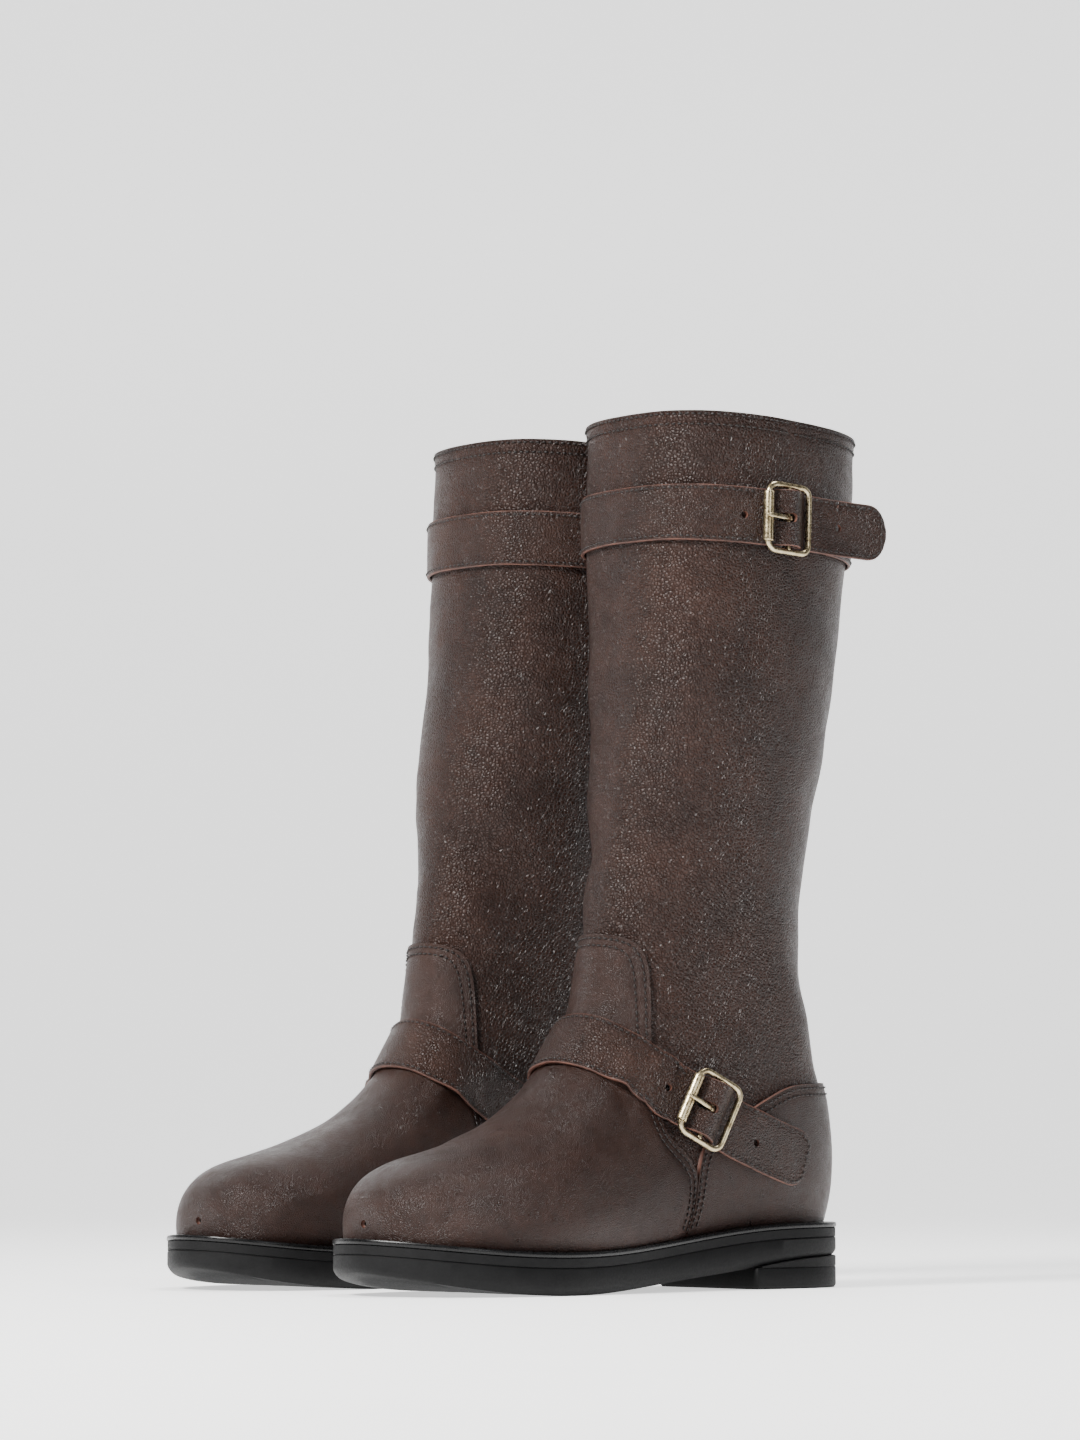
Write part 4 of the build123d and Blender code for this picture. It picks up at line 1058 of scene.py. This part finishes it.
def lay(over, rays, rise, width=STRAP_WIDTH):
    """Points `rise` over the leather's highest place under the strap, with the normals there."""
    hits = [outermost(over, origin, direction) for origin, direction in rays]
    frames = []
    for k, (point, normal) in enumerate(hits):
        along = hits[min(k + 1, len(hits) - 1)][0] - hits[max(k - 1, 0)][0]
        across = normalised(np.cross(normal, along))
        high = 0.0
        for share in (-0.5, -0.25, 0.25, 0.5):
            found = over.hit(point + across * share * width + normal * 25.0, -normal)
            if found is not None and abs((found[0] - point) @ normal) < 12:
                high = max(high, (found[0] - point) @ normal)
        frames.append((point + normal * (rise + high), normal))
    return frames


class BuckleSpace:
    """The plane of one buckle: x towards the strap's tip, y across, z outward."""

    def __init__(self, side, name, sign):
        self.bar, self.x, self.y, self.z = buckle_place(side, name, sign)
        self.origin = self.bar - self.z * BAR_HEIGHT

    def out(self, points):
        points = np.asarray(points, float)
        return (self.origin + points[..., :1] * self.x + points[..., 1:2] * self.y
                + points[..., 2:3] * self.z)

    def on(self, over, x, rise):
        """Height at x of a point `rise` over the highest leather under the strap."""
        high = -99.0
        for y in (-13.0, -7.0, 0.0, 7.0, 13.0):
            found = over.hit(self.out(np.array([x, y, 40.0])), -self.z)
            if found is not None:
                high = max(high, (found[0] - self.origin) @ self.z)
        return (x, high + rise)

    def frames(self, path):
        frames = []
        for k, (x, z) in enumerate(path):
            before, after = path[max(k - 1, 0)], path[min(k + 1, len(path) - 1)]
            slope = normalised(np.array([after[0] - before[0], after[1] - before[1]]))
            frames.append((self.out(np.array([x, 0.0, z])), self.z * slope[0] - self.x * slope[1]))
        return frames


def strap_through(space, over):
    return [space.on(over, -24.0, STRAP_RISE), space.on(over, -18.0, STRAP_RISE),
            space.on(over, -WIRE_X - 1.0, STRAP_RISE), space.on(over, -WIRE_X + 2.2, STRAP_RISE + 0.9),
            (-5.6, BAR_HEIGHT + 0.4), (-2.4, HUMP - 0.9), (0.4, HUMP), (3.6, HUMP - 1.2),
            (6.6, BAR_HEIGHT + 0.3), space.on(over, WIRE_X - 2.6, TAIL_RISE + 0.6),
            space.on(over, WIRE_X + 0.6, TAIL_RISE), space.on(over, WIRE_X + 6.0, TAIL_RISE)]


def chape_through(space, over):
    loop = BAR_RADIUS + 0.3 + CHAPE_THICKNESS / 2
    path = [space.on(over, 22.0, CHAPE_RISE), space.on(over, 16.0, CHAPE_RISE),
            space.on(over, WIRE_X, CHAPE_RISE), space.on(over, 7.6, CHAPE_RISE + 0.3),
            (4.0, BAR_HEIGHT - 3.4)]
    for turn in range(-75, -331, -20):
        path.append((loop * math.cos(math.radians(turn)), BAR_HEIGHT + loop * math.sin(math.radians(turn))))
    return path + [(3.4, BAR_HEIGHT - 0.3), (5.0, BAR_HEIGHT - 1.7)]


def swept(frames, step=1.4):
    """Frames thinned to a smooth run of points and normals at even steps."""
    points = np.array([p for p, _ in frames])
    normals = np.array([n for _, n in frames])
    gaps = np.linalg.norm(np.diff(points, axis=0), axis=1)
    keep = np.r_[True, gaps > 0.6]
    points, normals = points[keep], normals[keep]
    knots = np.r_[0, np.cumsum(np.linalg.norm(np.diff(points, axis=0), axis=1))]
    at = np.linspace(0, knots[-1], int(knots[-1] / step) + 1)
    return cubic(knots, points, at), normalised(cubic(knots, normals, at))


# ------------------------------------------------------------------ building one boot
def cut_out(thing, cutter):
    """Take a cutter out of a thing and apply it."""
    modifier = thing.modifiers.new("cut", "BOOLEAN")
    modifier.operation, modifier.object, modifier.solver = "DIFFERENCE", cutter, "EXACT"
    bpy.context.view_layer.update()
    graph = bpy.context.evaluated_depsgraph_get()
    mesh = bpy.data.meshes.new_from_object(thing.evaluated_get(graph))
    thing.modifiers.clear()
    old, thing.data = thing.data, mesh
    bpy.data.meshes.remove(old)
    bpy.data.objects.remove(cutter)


def hole_cutter(space, x, length, width, sign, low=-3.0, high=16.0):
    """A slot-shaped prism square to the buckle's plane."""
    half = max((length - width) / 2, 0.0)
    ring = []
    for k in range(28):
        turn = 2 * math.pi * (k + 0.5) / 28
        ring.append((x + math.copysign(half, math.cos(turn)) + width / 2 * math.cos(turn),
                     width / 2 * math.sin(turn)))
    points = [space.out(np.array([a, b, z])) for z in (low, high) for a, b in ring]
    n = len(ring)
    faces = grid_quads(2, n).tolist() + end_caps(2, n)
    mesh = bpy.data.meshes.new("cutter")
    world = to_world(np.array(points), sign)
    mesh.from_pydata(world.tolist(), [], outward_faces(world, faces))
    mesh.materials.append(STRAP_LEATHER)
    mesh.materials.append(RAW_EDGE)
    mesh.polygons.foreach_set("material_index", [1] * len(mesh.polygons))
    thing = bpy.data.objects.new("cutter", mesh)
    bpy.context.scene.collection.objects.link(thing)
    return thing


def band(name, frames, width, thickness, side, sign, node, tip=0, rows=False, holes=(), space=None):
    """A strap or chape with its holes, and the seam along it as a piece of its own."""
    points, normals = swept(frames)
    share = np.ones(len(points))
    step = np.linalg.norm(np.diff(points, axis=0), axis=1).mean()
    if tip:
        count = int(tip / step)
        share[-count:] = rounded_end(count, tip, step)
    points_out, faces, materials, course = ribbon(points, normals, width, thickness, share, arch=0.12)
    thing = make_object(f"{side}_{name}_leather", points_out, faces, [STRAP_LEATHER, RAW_EDGE], sign,
                        face_materials=materials, replaces=(f"{side}_{node}",))
    for x, length, hole_width in holes:
        cut_out(thing, hole_cutter(space, x, length, hole_width, sign))
    thing.data.set_sharp_from_angle(angle=math.radians(50))
    if rows:
        centre, normal, across = course
        inset = np.maximum(width / 2 * share - STITCH_INSET, 0)
        last = len(centre) - (2 if tip else 3)
        flat = centre - space.origin
        x = flat @ space.x
        near = (x > -WIRE_X - 4.5) & (x < WIRE_X + 4.5) & (np.abs(flat @ space.z) < 16)
        sides = []
        for way in (1, -1):
            line = centre + across * (inset * way)[:, None] + normal * (thickness / 2 + 0.12)
            sides.append([(p, n, not h) for p, n, h in zip(line[2:last], normal[2:last], near[2:last])])
        if tip:
            sides = [sides[0] + sides[1][::-1]]
        stitch_points, stitch_faces = stitch_row([run for part in sides for run in kept_runs(part, 5)])
        make_object(f"{side}_{name}_stitches", stitch_points, stitch_faces, [THREAD], sign)
    return thing


def brass_piece(prefix, kind, body, points, faces, sign):
    make_object(f"{prefix}_{kind}", points, faces, [BRASS], sign, f"{prefix}_{body}",
                replaces=(f"{prefix}_{body}",))


def buckle_frame(space):
    """The bent wire and the bar across it."""
    outline = wire_outline()
    ring = space.out(np.column_stack([outline, np.full(len(outline), BAR_HEIGHT)]))
    stations = 24
    middle = np.column_stack([np.zeros(stations), np.linspace(-WIRE_Y, WIRE_Y, stations),
                              np.full(stations, BAR_HEIGHT)])
    return joined([tube(ring, WIRE_RADIUS, closed=True), tube(space.out(middle), BAR_RADIUS)])


def buckle_roller(space):
    """A sheet rolled round the front wire, open along a narrow seam."""
    gap = 7.0
    turns = np.radians(np.linspace(90 + gap, 450 - gap, 46))
    ends = np.array([-12.0, -11.8, -11.3, -10.4, -6.0])
    stations = np.r_[ends, 0.0, -ends[::-1]] * ROLLER_LENGTH / 24
    drops = np.array([0.42, 0.16, 0.03, 0, 0, 0, 0, 0, 0.03, 0.16, 0.42])
    sheet_in = 1.62
    rings = []
    for y, drop in zip(stations, drops):
        outer = ROLLER_RADIUS - drop
        profile = [(-WIRE_X + outer * math.cos(t), BAR_HEIGHT + outer * math.sin(t)) for t in turns]
        profile += [(-WIRE_X + sheet_in * math.cos(t), BAR_HEIGHT + sheet_in * math.sin(t))
                    for t in turns[::-1]]
        rings.append(space.out(np.array([(a, y, b) for a, b in profile])))
    count = len(rings[0])
    faces = grid_quads(len(rings), count).tolist()
    half = count // 2
    for first, flip in ((0, True), ((len(rings) - 1) * count, False)):
        for j in range(half - 1):
            quad = [first + j, first + j + 1, first + count - 2 - j, first + count - 1 - j]
            faces.append(list(reversed(quad)) if flip else quad)
    return np.vstack(rings), faces


def buckle_prong(space):
    """A flat tongue that rests on the roller, with an eye round the bar."""
    stations, around = 34, 18
    rest = BAR_HEIGHT + ROLLER_RADIUS + 0.12
    way = np.array([(-1.0, BAR_HEIGHT + 2.15), (-3.4, BAR_HEIGHT + 2.65), (-WIRE_X + 4.0, rest + 0.62),
                    (-WIRE_X, rest + 0.86), (-WIRE_X - 2.0, rest + 0.62), (-WIRE_X - 3.2, rest + 0.18)])
    knots = np.r_[0, np.cumsum(np.linalg.norm(np.diff(way, axis=0), axis=1))]
    line = cubic(knots, way, np.linspace(0, knots[-1], stations))
    along = normalised(np.gradient(line, axis=0))
    up = np.stack([-along[:, 1], along[:, 0]], 1) * -1
    run = np.linspace(0, 1, stations)
    half_width = np.interp(run, [0, 0.15, 0.85, 0.96, 1], [1.25, 1.2, 1.05, 0.8, 0.35])
    half_thick = np.interp(run, [0, 0.2, 0.9, 1], [0.62, 0.74, 0.66, 0.3])
    turns = np.linspace(0, 2 * np.pi, around, endpoint=False)
    across = np.sign(np.cos(turns)) * np.abs(np.cos(turns)) ** 0.7
    raise_by = np.sign(np.sin(turns)) * np.abs(np.sin(turns)) ** 0.7
    rings = []
    for p, u, w, t in zip(line, up, half_width, half_thick):
        rings.append(np.stack([p[0] + u[0] * t * raise_by, w * across, p[1] + u[1] * t * raise_by], 1))
    tongue_faces = grid_quads(stations, around).tolist() + end_caps(stations, around)
    eye_inner, eye_outer, eye_half, eye_turns = BAR_RADIUS + 0.10, 2.65, 1.15, 36
    middle, thick = (eye_inner + eye_outer) / 2, (eye_outer - eye_inner) / 2
    eye = []
    for t in np.linspace(0, 2 * np.pi, eye_turns, endpoint=False):
        radius = middle + thick * raise_by
        eye.append(np.stack([radius * math.cos(t), eye_half * across, BAR_HEIGHT + radius * math.sin(t)], 1))
    eye_faces = grid_quads(eye_turns, around, closed=True).tolist()
    return joined([(space.out(np.vstack(rings)), tongue_faces), (space.out(np.vstack(eye)), eye_faces)])


def brass_set(side, name, sign, space):
    """Frame, roller and prong of one buckle, each riding on its own body."""
    prefix = f"{side}_{name}_buckle"
    brass_piece(prefix, "wire", "frame", *buckle_frame(space), sign)
    brass_piece(prefix, "roller_tube", "roller", *buckle_roller(space), sign)
    brass_piece(prefix, "prong_tongue", "prong", *buckle_prong(space), sign)


def build_upper(side, sign, upper):
    """Shaft, vamp and counter cover with their seams."""
    foot = upper.feather + 1.2
    shaft_field = np.minimum(np.minimum(upper.shaft, upper.rim), upper.feather + 1.0)
    fields = (
        ("shaft", shaft_field, 0.0, SHAFT_INNER, [(upper.rim, RIM_SEAMS)], SHAFT_LEATHER, SHAFT_LEATHER,
         "upper_leather"),
        ("vamp", np.minimum(upper.vamp, foot), OVERLAY, OVERLAY_INNER, [(upper.vamp, VAMP_SEAMS)],
         VAMP_LEATHER, RAW_EDGE, "vamp_leather"),
        ("counter_cover", np.minimum(upper.counter, foot), COUNTER_HEIGHT, OVERLAY_INNER,
         [(upper.counter, COUNTER_SEAMS)], VAMP_LEATHER, RAW_EDGE, "upper_leather"),
    )
    for name, field, outer, inner, groove, face, edge, slot in fields:
        points, faces, materials = leather_piece(upper, field, outer, inner, groove)
        thing = make_object(f"{side}_{name}_leather", points, faces, [face, edge], sign,
                            face_materials=materials, replaces=(f"{side}_{name}",))
        thing.data.set_sharp_from_angle(angle=math.radians(60))
    clear = upper.feather > 3.0
    rows = (
        ("rim_stitches", upper.rim, RIM_SEAMS, upper.rim > 0, 0.0, "upper_leather"),
        ("vamp_stitches", upper.vamp, VAMP_SEAMS, clear & (upper.base[..., 2] > 24), OVERLAY, "vamp_leather"),
        ("counter_stitches", upper.counter, COUNTER_SEAMS, clear & (upper.base[..., 0] > -30),
         COUNTER_HEIGHT, "upper_leather"),
    )
    for name, field, levels, keep, height, slot in rows:
        lines = []
        for level in levels:
            lines += contour(upper, field, level, keep, height)
        points, faces = stitch_row(lines)
        make_object(f"{side}_{name}", points, faces, [THREAD], sign)


def build_straps(side, sign, upper):
    """Both straps with their chapes and buckles."""
    shaft_over, overlay_over = Over(upper, 0.0), Over(upper, OVERLAY)
    top, ankle = BuckleSpace(side, "top", sign), BuckleSpace(side, "ankle", sign)
    front = lay(shaft_over, [top_ray(angle) for angle in range(262, 40, -6)], STRAP_RISE)
    base = top.on(shaft_over, WIRE_X + 6.0, TAIL_RISE)[1]
    tail = [(26.0, -0.2), (34.0, 0.2), (42.0, 0.9), (50.0, 1.8), (56.0, 2.4), (61.0, 3.0)]
    path = strap_through(top, shaft_over) + [(x, base + z) for x, z in tail]
    band("top_strap", front + top.frames(path), STRAP_WIDTH, STRAP_THICKNESS, side, sign, "top_strap",
         tip=11.0, rows=True, holes=STRAP_HOLES, space=top)
    rear = lay(shaft_over, [top_ray(angle) for angle in range(-96, -28, 6)], CHAPE_RISE + 0.4)
    band("top_chape", rear + top.frames(chape_through(top, shaft_over)), CHAPE_WIDTH, CHAPE_THICKNESS,
         side, sign, "top_strap_chape", rows=True, holes=CHAPE_HOLES, space=top)
    brass_set(side, "top", sign, top)
    medial = lay(overlay_over, [heel_ray(s, -1) for s in (46, 58, 70, 82, 94)], STRAP_RISE)
    turns = (180, 168, 157, 147, 137, 128, 119, 111, 103, 95, 87, 79, 71, 64, 57, 50, 43, 36)
    instep = lay(overlay_over, [ankle_ray(angle) for angle in turns], STRAP_RISE)
    tail = lay(overlay_over, [heel_ray(s, 1) for s in (75, 67, 59, 51, 45, 41, 38.5)], TAIL_RISE + 0.5)
    band("ankle_strap", medial + instep + ankle.frames(strap_through(ankle, overlay_over)) + tail,
         STRAP_WIDTH, STRAP_THICKNESS, side, sign, "ankle_strap", tip=12.0, rows=True,
         holes=STRAP_HOLES, space=ankle)
    rear = lay(overlay_over, [heel_ray(s, 1) for s in (52, 60, 68)], CHAPE_RISE)
    band("ankle_chape", rear + ankle.frames(chape_through(ankle, overlay_over)), CHAPE_WIDTH, CHAPE_THICKNESS,
         side, sign, "ankle_strap_chape", holes=CHAPE_HOLES, space=ankle)
    brass_set(side, "ankle", sign, ankle)


def build_sole(side, sign):
    """Welt, midsole, outsole and heel, each with its edge profile."""
    layers = (
        ("welt", lambda s: welt_height(s) - WELT_BOTTOM, welt_height, None, WELT_RUBBER,
         ((0.0, -0.5), (0.1, 0.12), (0.35, 0.38), (0.7, 0.38), (0.92, 0.1), (1.0, -0.5)), "black_welt"),
        ("midsole", lambda s: welt_height(s) - MIDSOLE_BOTTOM,
         lambda s: welt_height(s) - WELT_BOTTOM - SOLE_GAP, None, RUBBER,
         ((0.0, -0.55), (0.06, -0.1), (0.94, -0.1), (1.0, -0.55)), "black_rubber"),
        ("outsole", bottom_height, lambda s: welt_height(s) - MIDSOLE_BOTTOM - SOLE_GAP, None, RUBBER,
         ((0.0, -2.2), (0.10, -1.2), (0.24, -0.35), (0.34, 0.0), (0.94, 0.0), (1.0, -0.5)), "black_rubber"),
        ("heel_base", lambda s: HEEL_LIFT_HEIGHT + 0 * s,
         lambda s: np.maximum(bottom_height(s) - LIFT_GAP, HEEL_LIFT_HEIGHT + LIFT_GAP),
         HEEL_BASE_LENGTH, RUBBER, ((0.0, -0.45), (0.1, 0.0), (0.9, 0.0), (1.0, -0.45)), "black_rubber"),
        ("heel_top_lift", lambda s: 0.0 * s, lambda s: HEEL_LIFT_HEIGHT - LIFT_GAP + 0 * s,
         HEEL_LENGTH, RUBBER,
         ((0.0, -1.0), (0.08, -0.3), (0.16, 0.0), (0.94, 0.0), (1.0, -0.45)), "black_rubber"),
    )
    for name, lower, top, front, material, rows, slot in layers:
        faces, rings = sole_slab(lower, top, rows, front)
        points, faces = cap_rings(faces, rings, lower, top)
        thing = make_object(f"{side}_{name}_rubber", points, faces, [material], sign,
                            replaces=(f"{side}_{name}",))
        thing.data.set_sharp_from_angle(angle=math.radians(38))


for side, sign, seed in (("left", 1, 11), ("right", -1, 29)):
    upper = Upper(sign, seed)
    build_upper(side, sign, upper)
    build_straps(side, sign, upper)
    build_sole(side, sign)

for name, thing in frame["nodes"].items():
    material = CARRIED.get(name.split("_", 1)[1])
    if material is not None:
        thing.data.materials.clear()
        thing.data.materials.append(material)

# ------------------------------------------------------------------ floor, light and camera
VIEW_AZIMUTH = 48.6        # the camera looks from this far round the front, in degrees
VIEW_YAW = 0.71
VIEW_PITCH = 5.38
SWEEP_START = 2.2          # metres behind the boots where the floor begins to curve up

mesh = bpy.data.meshes.new("studio_floor")
reach, rise, bend = 6.0, 4.0, 1.2
profile = [(-reach, 0.0), (SWEEP_START, 0.0)]
for t in np.linspace(0.1, math.pi / 2, 14):
    profile.append((SWEEP_START + bend * math.sin(t), bend * (1 - math.cos(t))))
profile.append((SWEEP_START + bend, rise))
turn = math.radians(VIEW_AZIMUTH)
back = (-math.sin(turn), math.cos(turn))
right = (math.cos(turn), math.sin(turn))
corners = []
for across in (-reach, reach):
    for depth, height in profile:
        corners.append((back[0] * depth + right[0] * across, back[1] * depth + right[1] * across, height))
count = len(profile)
quads = [(k, k + 1, count + k + 1, count + k) for k in range(count - 1)]
mesh.from_pydata(corners, [], quads)
mesh.polygons.foreach_set("use_smooth", [True] * len(mesh.polygons))
STUDIO_WHITE = plain("studio_white", (grey(0.88), grey(0.90)), 3.0, 0.7, depth=0.0, specular=0.1)
studio_shader = next(node for node in STUDIO_WHITE.node_tree.nodes if node.type == "BSDF_PRINCIPLED")
studio_shader.inputs["Emission Color"].default_value = (1.0, 1.0, 1.0, 1.0)
studio_shader.inputs["Emission Strength"].default_value = 0.9
mesh.materials.append(STUDIO_WHITE)
floor = bpy.data.objects.new("studio_floor", mesh)
bpy.context.scene.collection.objects.link(floor)

world = bpy.data.worlds.new("studio")
bpy.context.scene.world = world
world.use_nodes = True
world.node_tree.nodes["Background"].inputs["Color"].default_value = (0.95, 0.97, 1.0, 1.0)
world.node_tree.nodes["Background"].inputs["Strength"].default_value = 0.20


def area_light(name, place, target, size, power, colour=(1.0, 1.0, 1.0)):
    light = bpy.data.lights.new(name, "AREA")
    light.energy, light.size, light.color = power, size, colour
    thing = bpy.data.objects.new(name, light)
    thing.location = place
    thing.rotation_euler = (Vector(target) - Vector(place)).to_track_quat("-Z", "Y").to_euler()
    bpy.context.scene.collection.objects.link(thing)


area_light("key", (0.24, -1.75, 1.55), (0, 0, 0.22), 0.6, 104.0, (1.0, 0.985, 0.965))
area_light("fill", (2.2, -0.5, 0.9), (0, 0, 0.2), 0.8, 9.0, (0.97, 0.98, 1.0))
area_light("top", (0.1, 0.5, 2.2), (0, 0, 0.2), 0.9, 44.0)

camera_data = bpy.data.cameras.new("camera")
camera_data.lens, camera_data.sensor_width, camera_data.sensor_fit = 114.25, 36.0, "AUTO"
camera_data.clip_end = 60.0
camera = bpy.data.objects.new("camera", camera_data)
camera.location = ((CENTRE_X + 1603.7) * MM, (HEEL_Y - 1551.2) * MM, (FLOOR + 65.0) * MM)
swing = math.radians(VIEW_YAW)
ahead = np.array([-math.sin(turn), math.cos(turn), 0.0])
beside = np.array([math.cos(turn), math.sin(turn), 0.0])
ahead = ahead * math.cos(swing) - beside * math.sin(swing)
pitch = math.radians(VIEW_PITCH)
aim = Vector((ahead[0] * math.cos(pitch), ahead[1] * math.cos(pitch), math.sin(pitch)))
camera.rotation_euler = aim.to_track_quat("-Z", "Y").to_euler()
bpy.context.scene.collection.objects.link(camera)
bpy.context.scene.camera = camera
